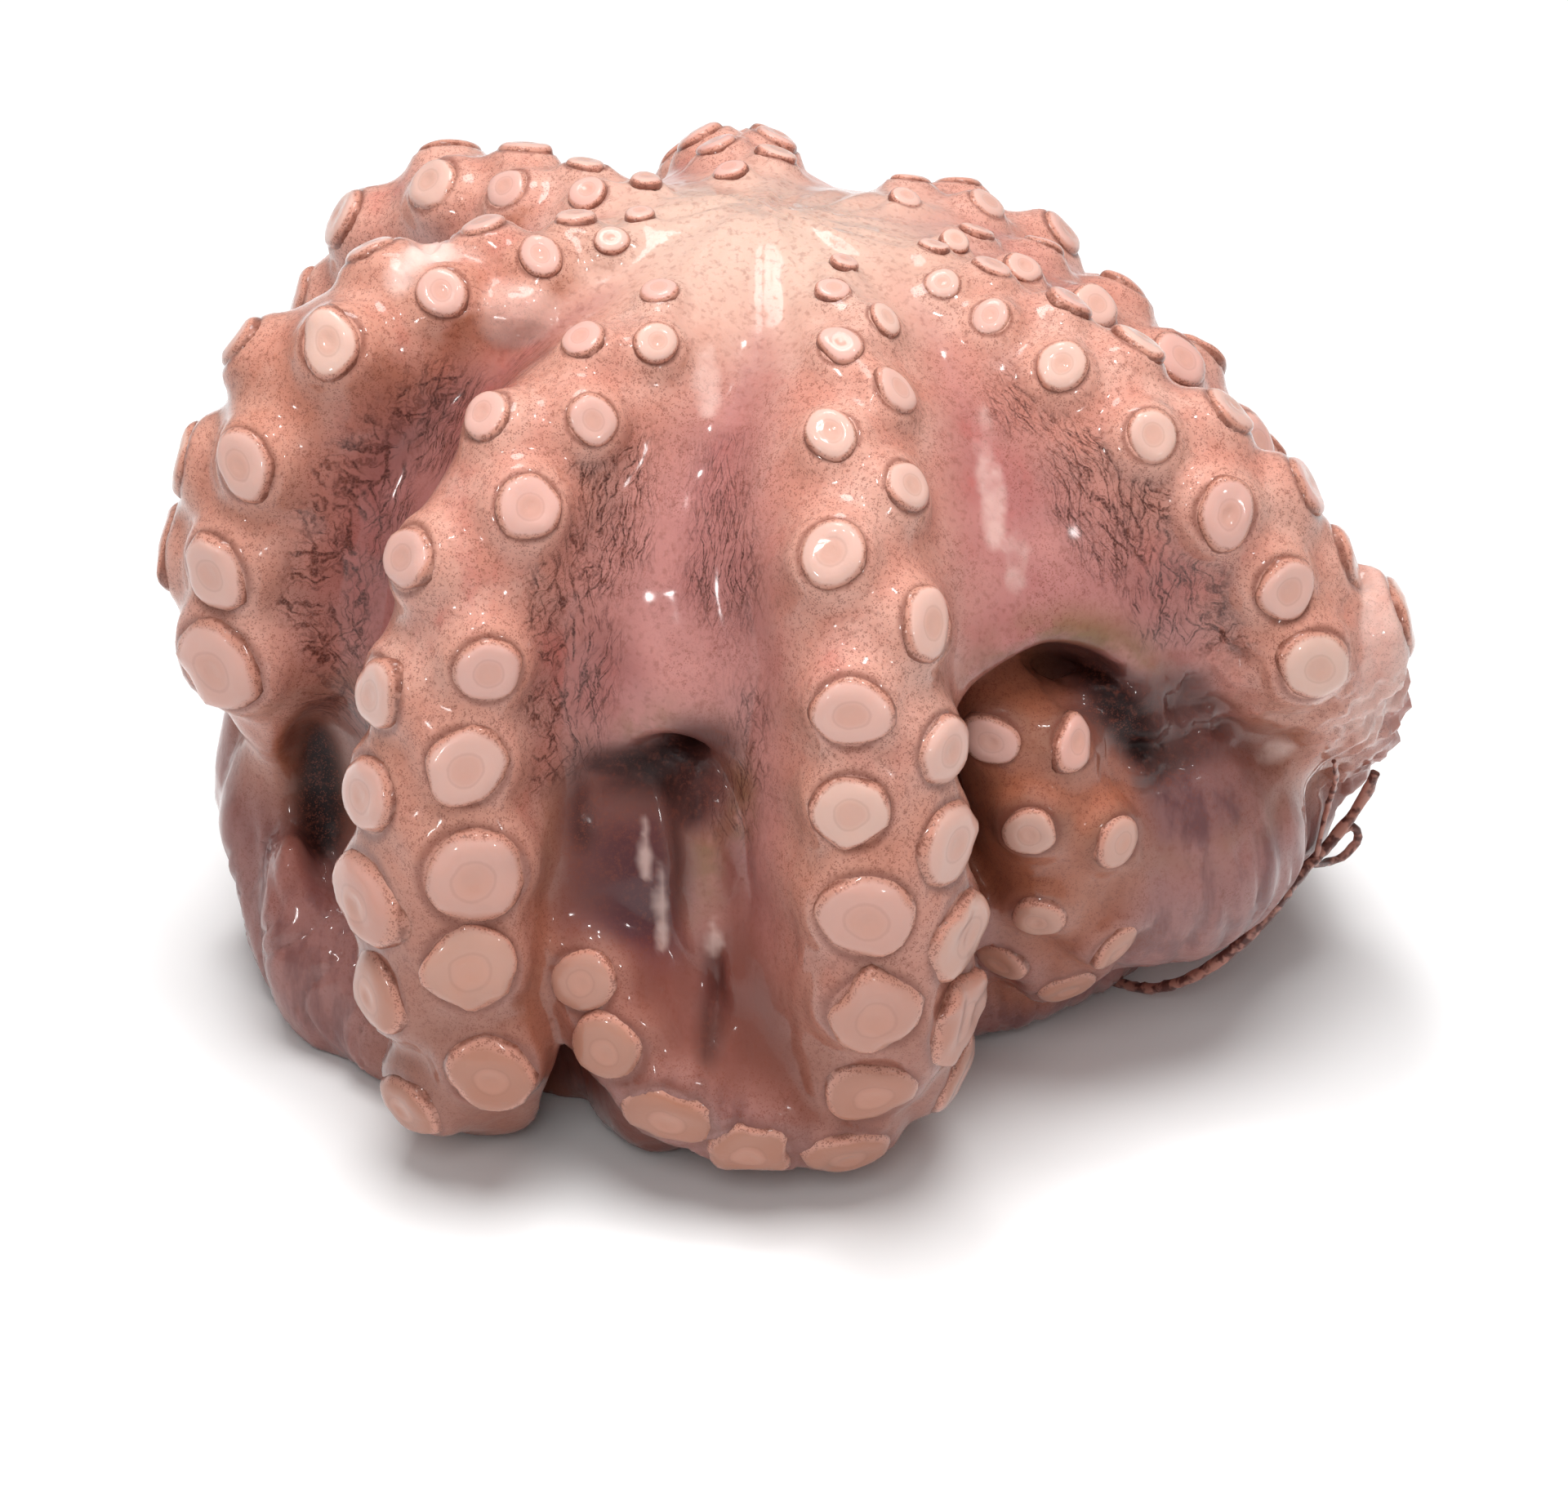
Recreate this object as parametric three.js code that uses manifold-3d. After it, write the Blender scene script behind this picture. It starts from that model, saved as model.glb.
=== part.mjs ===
// A whole raw octopus packed flower-fashion, mouth uppermost, arms folded down and tucked under.
// Millimetres, +Z up, the side with the folded front arm towards -Y.
import * as THREE from "three";
import { mergeVertices } from "three/addons/utils/BufferGeometryUtils.js";
import Module from "manifold-3d";

const wasm = await Module();
wasm.setup();

// ---------------------------------------------------------------- named sizes

// the mouth axis, measured from the middle of the footprint
const MOUTH_AXIS = { x: -3.0, y: -0.56 };

const SKIN_COLOUR = "#ba8578";
const SKIN_ROUGHNESS = 0.35;

// the body inside the ring of arms: a dome of web and mantle
const DOME = { crown: 131, waist: 62, roundness: 2.4 };

// web between the arms: compass angle, radius at the waist, radius on the floor
const WEBS = [
  { angle: 20, waist: 76, floor: 70 },
  { angle: 70, waist: 64, floor: 60 },
  { angle: 118, waist: 70, floor: 63 },
  { angle: 165, waist: 75, floor: 69 },
  { angle: 190, waist: 77, floor: 80 },
  { angle: 209, waist: 72, floor: 79 },
  { angle: 222, waist: 69, floor: 70 },
  { angle: 236, waist: 68, floor: 62 },
  { angle: 262, waist: 69, floor: 60 },
  { angle: 286, waist: 70, floor: 60 },
  { angle: 309, waist: 75, floor: 44 },
  { angle: 325, waist: 80, floor: 54 },
  { angle: 341, waist: 82, floor: 66 },
];

// Each arm leaves the mouth, arches over the shoulder, drops to the floor and tucks under.
// angles and girths: at the mouth, shoulder, waist, foot, tuck and tip.
// foot, tuck, tip: distance from the mouth axis and height of the arm's centre.
// facing turns the suckered side round the arm; twist turns it further below the shoulder;
// lean is how far each of the two rows of suckers leans away from the middle of that side.
const ARMS = [
  {
    name: "front", angles: [298, 283, 281, 282.5, 281, 280], girths: [8, 11.5, 14, 13, 11, 5],
    reach: 76, waist: 48, roundness: 2.5, crown: 128,
    foot: [68, 20], tuck: [56, 8], tip: [20, 10], firstSucker: 11.5, lastSucker: 150,
    pace: 0.92, suckerScale: 0.97, facing: 9, lead: -1, twist: 22, lean: 27,
  },
  {
    name: "frontLeft", angles: [240, 230, 231.5, 235.5, 229, 240], girths: [8, 12, 15.5, 15, 12, 5],
    reach: 76, waist: 58, roundness: 2.6, crown: 128,
    foot: [79, 22], tuck: [66, 8], tip: [22, 10], firstSucker: 19, lastSucker: 172,
    pace: 1.02, suckerScale: 0.97, facing: 13, lead: 1, twist: 0, lean: 29,
  },
  {
    name: "left", angles: [190, 191, 192, 194, 194, 190], girths: [8, 13, 16.5, 14, 11, 5],
    reach: 80, waist: 76, roundness: 3.0, crown: 128,
    foot: [75, 54], tuck: [50, 40], tip: [24, 20], firstSucker: 11, lastSucker: 112,
    pace: 0.95, suckerScale: 1.0, facing: 10, lead: 1, twist: 0, lean: 32,
  },
  {
    name: "backLeft", angles: [148, 142, 143, 143, 142, 145], girths: [8, 11.5, 15, 14, 11, 5],
    reach: 85, waist: 68, roundness: 2.8, crown: 124,
    foot: [80, 30], tuck: [52, 14], tip: [22, 10], firstSucker: 16, lastSucker: 400,
    pace: 1.0, suckerScale: 1.0, facing: 4, lead: 1, twist: 0, lean: 32,
  },
  {
    name: "back", angles: [94, 96, 96, 95, 95, 100], girths: [8, 11, 13, 14, 11, 5],
    reach: 76, waist: 62, roundness: 2.8, crown: 120,
    foot: [70, 26], tuck: [50, 13], tip: [20, 10], firstSucker: 16, lastSucker: 400,
    pace: 1.0, suckerScale: 1.0, facing: 0, lead: -1, twist: 0, lean: 32,
  },
  {
    name: "backRight", angles: [42, 41, 42, 45, 48, 50], girths: [8, 11, 14, 14, 11, 5],
    reach: 67, waist: 58, roundness: 2.4, crown: 120,
    foot: [70, 26], tuck: [50, 13], tip: [20, 10], firstSucker: 16, lastSucker: 400,
    pace: 1.0, suckerScale: 1.0, facing: 0, lead: 1, twist: 0, lean: 32,
  },
  {
    name: "right", angles: [8, 5, 4, 3, 4, 5], girths: [8, 11, 13, 13, 11, 5],
    reach: 79, waist: 56, roundness: 1.95, crown: 119,
    foot: [80, 34], tuck: [56, 14], tip: [24, 10], firstSucker: 15, lastSucker: 104,
    pace: 0.88, suckerScale: 0.95, facing: 0, lead: 1, twist: 0, lean: 32,
  },
  {
    name: "frontRight", angles: [340, 335, 341, 350, 352, 340], girths: [8, 12, 14.5, 13, 11, 5],
    reach: 88, waist: 66, roundness: 2.15, crown: 125,
    foot: [80, 50], tuck: [56, 32], tip: [26, 16], firstSucker: 17, lastSucker: 106,
    pace: 0.77, suckerScale: 0.88, facing: -8, lead: -1, twist: 0, lean: 32,
  },
];

// Other runs of flesh. Stations are compass angle, radius, height, girth.
// A fold with suckers says how wide they are and which way they lean, start to end, how far
// from the ends they stop, and, for a single row, their spacing against their width.
const FOLDS = [
  {
    name: "baseFold", blend: 5, middle: [30, -10, 30],
    stations: [[296, 44, 11, 10], [310, 46, 11, 11], [322, 52, 11, 11], [334, 60, 11, 9]],
    suckers: { from: 12, stop: 3, widths: [11, 11, 10, 8], rows: [-1], lean: [2, 2], pitch: 1.25 },
  },
  {
    name: "leftMass", blend: 8, middle: [0, 0, 30],
    stations: [
      [176, 70, 42, 18], [186, 72, 33, 19], [197, 73, 21, 17], [208, 72, 14, 16], [219, 69, 10, 13],
    ],
  },
  {
    name: "leftSkirt", blend: 7, middle: [0, 0, 30],
    stations: [[176, 71, 16, 12], [188, 75, 11, 13], [202, 76, 9, 13], [216, 73, 8, 12]],
  },
  {
    name: "leftPleatBack", blend: 5, middle: [0, 0, 30],
    stations: [[183, 86, 50, 5], [185, 90, 34, 5], [186, 89, 19, 5], [185, 84, 5, 4]],
  },
  {
    name: "leftPleatMiddle", blend: 5, middle: [0, 0, 30],
    stations: [[192, 84, 47, 4], [191, 89, 32, 5], [194, 88, 18, 5], [198, 85, 4, 4]],
  },
  {
    name: "leftPleatFront", blend: 5, middle: [0, 0, 30],
    stations: [[203, 82, 40, 4], [203, 86, 28, 4.5], [206, 87, 15, 5], [208, 84, 3, 4]],
  },
  {
    name: "mantle", blend: 8, middle: [0, 0, 30],
    stations: [[324, 60, 34, 16], [337, 70, 32, 17], [350, 79, 30, 18], [8, 80, 28, 17]],
  },
  {
    name: "raggedEnd", blend: 6, middle: [0, 0, 50],
    stations: [[336, 86, 80, 10], [342, 95, 71, 11], [348, 99, 58, 10], [353, 96, 42, 9]],
  },
];

// hollows under the web: centre, half sizes, turn about the vertical in degrees
const HOLLOWS = [
  { name: "front", centre: [-19, -64, 62], half: [12, 14, 17], turn: 0, blend: 4 },
  { name: "right", centre: [43, -58, 66], half: [22, 19, 23], turn: 38, blend: 4 },
  { name: "underRightWeb", centre: [69, -55, 60], half: [24, 11, 8], turn: 33, blend: 4 },
  { name: "left", centre: [-67, -41, 47], half: [8, 20, 19], turn: 35, blend: 5 },
];

// folds that lie inside a hollow, added after the hollows are opened
const INNER_FOLDS = [
  {
    name: "frontArmTurn", blend: 5, middle: [-6, -52, 34],
    stations: [
      [281, 73, 20, 10], [272, 74, 20, 10], [264, 74, 22, 9.5], [257, 74, 26, 9],
      [252, 73, 35, 8], [248, 71, 44, 7], [245, 67, 54, 5],
    ],
    suckers: {
      from: 4, stop: 14, widths: [13, 13, 13, 12, 10, 7], rows: [1], lean: [0, 30], pitch: 0.85,
    },
  },
  {
    name: "webMargin", blend: 2.5, middle: [0, 0, 60],
    stations: [
      [242, 64, 70, 3], [249, 61, 74, 4], [256, 60, 74, 4.5], [261, 62, 66, 5],
      [263, 66, 56, 5], [264, 71, 44, 4.5], [266, 77, 31, 3],
    ],
  },
  {
    name: "curledArm", blend: 3, middle: [20, -20, 50],
    stations: [
      [322, 52, 20, 11], [315, 60, 35, 13], [309, 65, 50, 14], [307, 63, 64, 13],
      [304, 57, 77, 10], [300, 50, 88, 6],
    ],
    suckers: { from: 13, stop: 3, widths: [9.5, 9.5, 9, 8.5, 7.5], rows: [1, -1], lean: [30, 30] },
  },
];

// sheets and torn flesh in and round the hollows, given like the hollows
const LUMPS = [
  { name: "flap", centre: [3, -62, 26], half: [16, 21, 29], turn: 0, blend: 7 },
  { name: "turnSheet", centre: [-18, -58, 21], half: [16, 22, 25], turn: 8, blend: 5 },
  { name: "tongue", centre: [-23, -56, 44], half: [9, 12, 24], turn: -15, blend: 4 },
  { name: "tongueRidge", centre: [-17, -57, 53], half: [3, 10, 15], turn: 8, blend: 3 },
  { name: "rightSheet", centre: [66, -46, 52], half: [13, 6, 14], turn: 30, blend: 3 },
  { name: "tornWhite", centre: [-53, -11, 130.5], half: [8, 6, 5], turn: 20, blend: 1.5 },
  { name: "tornPink", centre: [-40, -17, 128], half: [7, 5, 5], turn: -15, blend: 1.5 },
  { name: "tornScrap", centre: [-46, -8, 132], half: [6, 4, 3.5], turn: 40, blend: 1 },
];

// narrow gaps opened last, between folds that lie against each other
const GAPS = [
  { name: "besideTurn", centre: [-33, -69, 12], half: [5, 17, 22], turn: 25, blend: 4 },
  { name: "slit", centre: [-8.5, -80, 38], half: [2, 7, 11], turn: -10, blend: 3 },
];

const ARM_BLEND = 13;
const STATION_STEP = 3;

// sucker width and spacing against the distance along the arm from the mouth
const SUCKER_WIDTH = [
  [0, 3.5], [14, 5], [30, 7], [45, 8.6], [60, 9.8], [90, 12], [112, 15.6],
  [130, 14.8], [155, 13], [200, 11], [260, 8], [320, 3.5],
];
const SUCKER_PACE = [
  [12, 5.5], [30, 7.2], [50, 9.3], [66, 9.3], [80, 7.6], [105, 8.6], [135, 8.0],
  [170, 7.2], [230, 5.5], [320, 3.5],
];

const SMALLEST_SUCKER = 7.9;
const SUCKER_RISE = 0.36;
const FLOOR_GAP = 0.6;

// the flesh is traced outwards from here
const HEART = new THREE.Vector3(0, 0, 62);
const SKIN_DETAIL = 14;
const TRACE_START = 150;

// ---------------------------------------------------------------- small helpers

const radians = (degrees) => (degrees * Math.PI) / 180;

// repeatable unevenness between -1 and 1
function wobble(n) {
  const x = Math.sin(n * 12.9898 + 4.1) * 43758.5453;
  return 2 * (x - Math.floor(x)) - 1;
}

function lookUp(table, x) {
  if (x <= table[0][0]) return table[0][1];
  for (let i = 1; i < table.length; i += 1) {
    const [x1, y1] = table[i];
    const [x0, y0] = table[i - 1];
    if (x <= x1) return y0 + ((y1 - y0) * (x - x0)) / (x1 - x0);
  }
  return table[table.length - 1][1];
}

function smoothStep(x, low, high) {
  const t = Math.min(1, Math.max(0, (x - low) / (high - low)));
  return t * t * (3 - 2 * t);
}

function smoothUnion(a, b, k) {
  const h = Math.min(1, Math.max(0, 0.5 + (0.5 * (b - a)) / k));
  return b * (1 - h) + a * h - k * h * (1 - h);
}

function around(angle, radius, height) {
  const t = radians(angle);
  return [radius * Math.cos(t), radius * Math.sin(t), height];
}

// smooth curve through rows of numbers
function curve(rows, perSpan) {
  const first = rows[0].map((v, k) => 2 * v - rows[1][k]);
  const last = rows[rows.length - 1].map((v, k) => 2 * v - rows[rows.length - 2][k]);
  const all = [first, ...rows, last];
  const out = [];
  for (let i = 1; i < all.length - 2; i += 1) {
    for (let j = 0; j < perSpan; j += 1) {
      const u = j / perSpan;
      out.push(all[i].map((b, k) => {
        const a = all[i - 1][k];
        const c = all[i + 1][k];
        const d = all[i + 2][k];
        const cubic = (-a + 3 * b - 3 * c + d) * u * u * u;
        return 0.5 * (2 * b + (c - a) * u + (2 * a - 5 * b + 4 * c - d) * u * u + cubic);
      }));
    }
  }
  out.push(rows[rows.length - 1]);
  return out;
}

// ---------------------------------------------------------------- runs of arm

// An evenly stepped run: centres, radii, and which way its suckered side faces.
class Run {
  constructor(stations, middle, facing, twist) {
    const rows = curve(stations.map(([angle, r, z, girth]) => [...around(angle, r, z), girth]), 12);
    const along = [0];
    for (let i = 1; i < rows.length; i += 1) {
      const gap = Math.hypot(...[0, 1, 2].map((k) => rows[i][k] - rows[i - 1][k]));
      along.push(along[i - 1] + gap);
    }
    this.length = along[along.length - 1];
    this.count = Math.max(2, Math.round(this.length / STATION_STEP));
    this.step = this.length / this.count;
    this.rows = [];
    let j = 1;
    for (let i = 0; i <= this.count; i += 1) {
      const s = i * this.step;
      while (j < along.length - 1 && along[j] < s) j += 1;
      const u = (s - along[j - 1]) / (along[j] - along[j - 1]);
      this.rows.push(rows[j].map((v, k) => rows[j - 1][k] * (1 - u) + v * u));
    }
    this.frames = this.rows.map((row, i) => (
      this.frameAt(i, middle, facing + twist * smoothStep(i * this.step, 70, 170))
    ));
  }

  frameAt(i, middle, facing) {
    const before = this.rows[Math.max(0, i - 1)];
    const after = this.rows[Math.min(this.count, i + 1)];
    const forward = new THREE.Vector3(
      after[0] - before[0], after[1] - before[1], after[2] - before[2],
    ).normalize();
    const here = new THREE.Vector3(...this.rows[i].slice(0, 3));
    const out = here.clone().sub(new THREE.Vector3(...middle));
    out.addScaledVector(forward, -out.dot(forward)).normalize();
    const side = new THREE.Vector3().crossVectors(forward, out);
    const turned = out.clone().multiplyScalar(Math.cos(radians(facing)));
    const hand = side.x * -here.y + side.y * here.x > 0 ? 1 : -1;
    turned.addScaledVector(side, hand * Math.sin(radians(facing)));
    return { forward, out: turned, side: new THREE.Vector3().crossVectors(forward, turned) };
  }

  at(s) {
    const f = Math.min(this.count - 1e-6, Math.max(0, s / this.step));
    const i = Math.floor(f);
    const u = f - i;
    const row = this.rows[i].map((v, k) => v * (1 - u) + this.rows[i + 1][k] * u);
    const mix = (key) => this.frames[i][key].clone().lerp(this.frames[i + 1][key], u);
    return {
      centre: new THREE.Vector3(row[0], row[1], row[2]),
      girth: row[3],
      forward: mix("forward"),
      out: mix("out"),
      side: mix("side"),
    };
  }

  distance(x, y, z) {
    let best = 1e9;
    for (let i = 0; i < this.count; i += 1) {
      const a = this.rows[i];
      const b = this.rows[i + 1];
      const dx = b[0] - a[0];
      const dy = b[1] - a[1];
      const dz = b[2] - a[2];
      const px = x - a[0];
      const py = y - a[1];
      const pz = z - a[2];
      const dot = (px * dx + py * dy + pz * dz) / (dx * dx + dy * dy + dz * dz);
      const u = Math.min(1, Math.max(0, dot));
      const gap = Math.hypot(px - u * dx, py - u * dy, pz - u * dz) - (a[3] + u * (b[3] - a[3]));
      if (gap < best) best = gap;
    }
    return best;
  }
}

// the arch of an arm: a superellipse over the shoulder, then foot, tuck and tip
function armStations(arm) {
  const mix = (list, k) => {
    const i = Math.floor(k);
    return list[i] + (list[i + 1] - list[i]) * (k - i);
  };
  const stations = [[arm.angles[0], 9, arm.crown - 1.5, arm.girths[0]]];
  for (const [arch, k] of [[18, 0.3], [40, 1.0], [62, 1.4]]) {
    const r = arm.reach * Math.sin(radians(arch)) ** (2 / arm.roundness);
    const rise = (arm.crown - arm.waist) * Math.cos(radians(arch)) ** (2 / arm.roundness);
    stations.push([mix(arm.angles, k), r, arm.waist + rise, mix(arm.girths, k)]);
  }
  stations.push([arm.angles[2], arm.reach, arm.waist, arm.girths[2]]);
  stations.push([arm.angles[3], ...arm.foot, arm.girths[3]]);
  stations.push([arm.angles[4], ...arm.tuck, arm.girths[4]]);
  stations.push([arm.angles[5], ...arm.tip, arm.girths[5]]);
  return stations;
}

// ---------------------------------------------------------------- the flesh as a distance

function webRadii(x, y) {
  let angle = (Math.atan2(y, x) * 180) / Math.PI;
  if (angle < WEBS[0].angle) angle += 360;
  const ring = [...WEBS, { ...WEBS[0], angle: WEBS[0].angle + 360 }];
  let i = 0;
  while (i < ring.length - 2 && ring[i + 1].angle < angle) i += 1;
  const t = (angle - ring[i].angle) / (ring[i + 1].angle - ring[i].angle);
  const u = t * t * (3 - 2 * t);
  return {
    waist: ring[i].waist * (1 - u) + ring[i + 1].waist * u,
    floor: ring[i].floor * (1 - u) + ring[i + 1].floor * u,
  };
}

function domeDistance(x, y, z) {
  const web = webRadii(x, y);
  const r = Math.hypot(x, y);
  const above = Math.max(0, z - DOME.waist);
  const n = DOME.roundness;
  let q;
  if (above > 0) {
    q = ((r / web.waist) ** n + (above / (DOME.crown - DOME.waist)) ** n) ** (1 / n);
  } else {
    const t = Math.min(1.2, (DOME.waist - z) / DOME.waist);
    q = r / (web.waist + (web.floor - web.waist) * t * t);
  }
  if (q < 0.3) return -30;
  return ((q - 1) / q) * Math.hypot(r, above);
}

// distance to an egg shape: a hollow, a lump or a gap
function eggDistance(egg, x, y, z) {
  const t = radians(egg.turn);
  const px = x - egg.centre[0];
  const py = y - egg.centre[1];
  const pz = z - egg.centre[2];
  const across = px * Math.cos(t) + py * Math.sin(t);
  const along = py * Math.cos(t) - px * Math.sin(t);
  const [a, b, c] = egg.half;
  const q = Math.hypot(across / a, along / b, pz / c) + 1e-6;
  const g = Math.hypot(across / a ** 2, along / b ** 2, pz / c ** 2) + 1e-6;
  return (q * (q - 1)) / g;
}

const CENTRE_OF_BODY = [0, 0, 55];
const armRuns = ARMS.map((arm) => (
  new Run(armStations(arm), CENTRE_OF_BODY, arm.facing, arm.twist)
));
const foldRuns = FOLDS.map((fold) => new Run(fold.stations, fold.middle, 0, 0));
const innerRuns = INNER_FOLDS.map((fold) => new Run(fold.stations, fold.middle, 0, 0));

function fleshDistance(x, y, z) {
  let d = domeDistance(x, y, z);
  for (const run of armRuns) d = smoothUnion(d, run.distance(x, y, z), ARM_BLEND);
  FOLDS.forEach((fold, i) => {
    d = smoothUnion(d, foldRuns[i].distance(x, y, z), fold.blend);
  });
  for (const hollow of HOLLOWS) {
    d = -smoothUnion(-d, eggDistance(hollow, x, y, z), hollow.blend);
  }
  INNER_FOLDS.forEach((fold, i) => {
    d = smoothUnion(d, innerRuns[i].distance(x, y, z), fold.blend);
  });
  for (const lump of LUMPS) d = smoothUnion(d, eggDistance(lump, x, y, z), lump.blend);
  for (const gap of GAPS) d = -smoothUnion(-d, eggDistance(gap, x, y, z), gap.blend);
  return Math.max(d, -z);
}

// ---------------------------------------------------------------- the skin

// the outermost flesh met on the way in along one direction
function skinPoint(direction) {
  let far = TRACE_START;
  let d = 1e9;
  for (let i = 0; i < 200 && d > 0.01; i += 1) {
    d = fleshDistance(
      HEART.x + direction.x * far, HEART.y + direction.y * far, HEART.z + direction.z * far,
    );
    far -= Math.max(0.02, 0.7 * d);
  }
  const point = HEART.clone().addScaledVector(direction, far);
  if (point.z < 0.6) point.addScaledVector(direction, -point.z / direction.z).setZ(0);
  return point;
}

function skinGeometry() {
  const geometry = new THREE.IcosahedronGeometry(1, SKIN_DETAIL);
  geometry.deleteAttribute("normal");
  geometry.deleteAttribute("uv");
  const skin = mergeVertices(geometry, 1e-5);
  const place = skin.getAttribute("position");
  for (let i = 0; i < place.count; i += 1) {
    const direction = new THREE.Vector3().fromBufferAttribute(place, i).normalize();
    const point = skinPoint(direction);
    place.setXYZ(i, point.x, point.y, point.z);
  }
  return skin;
}

// ---------------------------------------------------------------- suckers

// where the suckers sit: centre of the mouth of each, its axis and its width
function suckerSeats() {
  const seats = [];
  const add = (run, s, width, lean, row, nod) => {
    const here = run.at(s);
    const axis = here.out.clone().multiplyScalar(Math.cos(lean));
    axis.addScaledVector(here.side, row * Math.sin(lean));
    axis.addScaledVector(here.forward, nod).normalize();
    const seat = here.centre.clone();
    let rise = here.girth;
    for (; rise < here.girth + 9; rise += 0.25) {
      seat.copy(here.centre).addScaledVector(axis, rise);
      if (fleshDistance(seat.x, seat.y, seat.z) >= 0) break;
    }
    seat.copy(here.centre).addScaledVector(axis, rise + SUCKER_RISE * width);
    seats.push({ seat, axis, width });
  };
  ARMS.forEach((arm, k) => {
    const run = armRuns[k];
    let s = arm.firstSucker;
    let row = arm.lead;
    const end = Math.min(run.length - 6, arm.lastSucker);
    for (let n = 0; s < end; n += 1) {
      const id = 40 * k + n;
      const width = lookUp(SUCKER_WIDTH, s) * arm.suckerScale * (1 + 0.06 * wobble(id));
      const opening = Math.min(1, 0.25 + s / 60);
      const lean = radians(arm.lean * opening + 4 * wobble(id + 0.3));
      add(run, s, width, lean, row, 0.08 * wobble(id + 0.6));
      row = -row;
      s += lookUp(SUCKER_PACE, s) * arm.pace * (1 + 0.05 * wobble(id + 0.8));
    }
  });
  const folds = [...FOLDS, ...INNER_FOLDS];
  const runs = [...foldRuns, ...innerRuns];
  folds.forEach((fold, k) => {
    if (!fold.suckers) return;
    const { from, stop, widths, rows, lean, pitch } = fold.suckers;
    const table = widths.map((w, i) => [(i * runs[k].length) / (widths.length - 1), w]);
    let s = from;
    for (let n = 0; s < runs[k].length - stop; n += 1) {
      const width = lookUp(table, s) * (1 + 0.06 * wobble(500 + 40 * k + n));
      const tilt = lean[0] + (lean[1] - lean[0]) * (s / runs[k].length);
      add(runs[k], s, width, radians(tilt), rows[n % rows.length], 0);
      s += rows.length > 1 ? 0.62 * width + 1.5 : pitch * width;
    }
  });
  return seats;
}

// one sucker: a mound with a dished face, its foot drawn in where the floor is near
function suckerGeometry({ seat, axis, width }) {
  const r = width / 2;
  const depth = 0.6 * width;
  const footHeight = seat.z - axis.z * depth - FLOOR_GAP;
  const foot = Math.min(1.7 * r, footHeight / Math.hypot(axis.x, axis.y));
  const profile = [
    new THREE.Vector2(0, -depth),
    new THREE.Vector2(foot, -depth),
    new THREE.Vector2(r, 0),
    new THREE.Vector2(0, -0.05 * width),
  ];
  const lathe = new THREE.LatheGeometry(profile, width > 10.5 ? 7 : 6);
  lathe.rotateX(Math.PI / 2);
  const turn = new THREE.Quaternion().setFromUnitVectors(new THREE.Vector3(0, 0, 1), axis);
  lathe.applyQuaternion(turn);
  lathe.translate(seat.x, seat.y, seat.z);
  lathe.deleteAttribute("normal");
  lathe.deleteAttribute("uv");
  return mergeVertices(lathe, 1e-4);
}

// a sucker is made when it is big enough and its face is clear of the flesh and of the floor
function shows({ seat, axis, width }) {
  if (width < SMALLEST_SUCKER) return false;
  const clear = seat.clone().addScaledVector(axis, 0.5 * width);
  if (fleshDistance(clear.x, clear.y, clear.z) < 0.35 * width) return false;
  return seat.z > 0.6 * width && clear.z > 0.3 * width;
}

// ---------------------------------------------------------------- joining

function toSolid(geometry) {
  const place = geometry.getAttribute("position");
  const vertProperties = new Float32Array(place.array);
  const triVerts = new Uint32Array(geometry.getIndex().array);
  return new wasm.Manifold(new wasm.Mesh({ numProp: 3, vertProperties, triVerts }));
}

function toGeometry(solid) {
  const mesh = solid.getMesh();
  const geometry = new THREE.BufferGeometry();
  const points = new Float32Array(mesh.numVert * 3);
  for (let i = 0; i < mesh.numVert; i += 1) {
    for (let k = 0; k < 3; k += 1) points[3 * i + k] = mesh.vertProperties[mesh.numProp * i + k];
  }
  geometry.setAttribute("position", new THREE.BufferAttribute(points, 3));
  geometry.setIndex(new THREE.BufferAttribute(new Uint32Array(mesh.triVerts), 1));
  return geometry;
}

let flesh = toSolid(skinGeometry());
for (const sucker of suckerSeats().filter(shows)) {
  flesh = flesh.add(toSolid(suckerGeometry(sucker)));
}

const geometry = toGeometry(flesh);
geometry.translate(MOUTH_AXIS.x, MOUTH_AXIS.y, 0);
geometry.computeVertexNormals();

const skin = new THREE.MeshStandardMaterial({
  name: "skin", color: SKIN_COLOUR, roughness: SKIN_ROUGHNESS, metalness: 0,
});
const octopus = new THREE.Mesh(geometry, skin);
octopus.name = "octopus";

const part = new THREE.Group();
part.name = "whole_octopus";
part.add(octopus);

export default part;
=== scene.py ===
"""A whole raw octopus packed as a flower: a dome, mouth up, its arms arched down and tucked under."""

import logging
import math
from dataclasses import dataclass, field
from enum import Enum
import bpy
import numpy as np
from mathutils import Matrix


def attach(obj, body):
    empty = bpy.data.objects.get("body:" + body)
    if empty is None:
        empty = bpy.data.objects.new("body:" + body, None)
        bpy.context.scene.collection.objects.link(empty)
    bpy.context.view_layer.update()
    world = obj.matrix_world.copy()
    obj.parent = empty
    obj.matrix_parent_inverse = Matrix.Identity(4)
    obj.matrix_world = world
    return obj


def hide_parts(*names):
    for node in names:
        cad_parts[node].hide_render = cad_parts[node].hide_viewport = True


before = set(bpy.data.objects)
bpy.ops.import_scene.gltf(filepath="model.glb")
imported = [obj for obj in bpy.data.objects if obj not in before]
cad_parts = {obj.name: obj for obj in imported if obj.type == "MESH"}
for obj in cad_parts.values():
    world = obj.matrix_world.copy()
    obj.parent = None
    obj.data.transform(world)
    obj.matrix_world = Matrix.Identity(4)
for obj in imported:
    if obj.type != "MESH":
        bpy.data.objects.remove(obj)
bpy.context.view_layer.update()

import openvdb
from mathutils import Vector, noise

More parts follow.
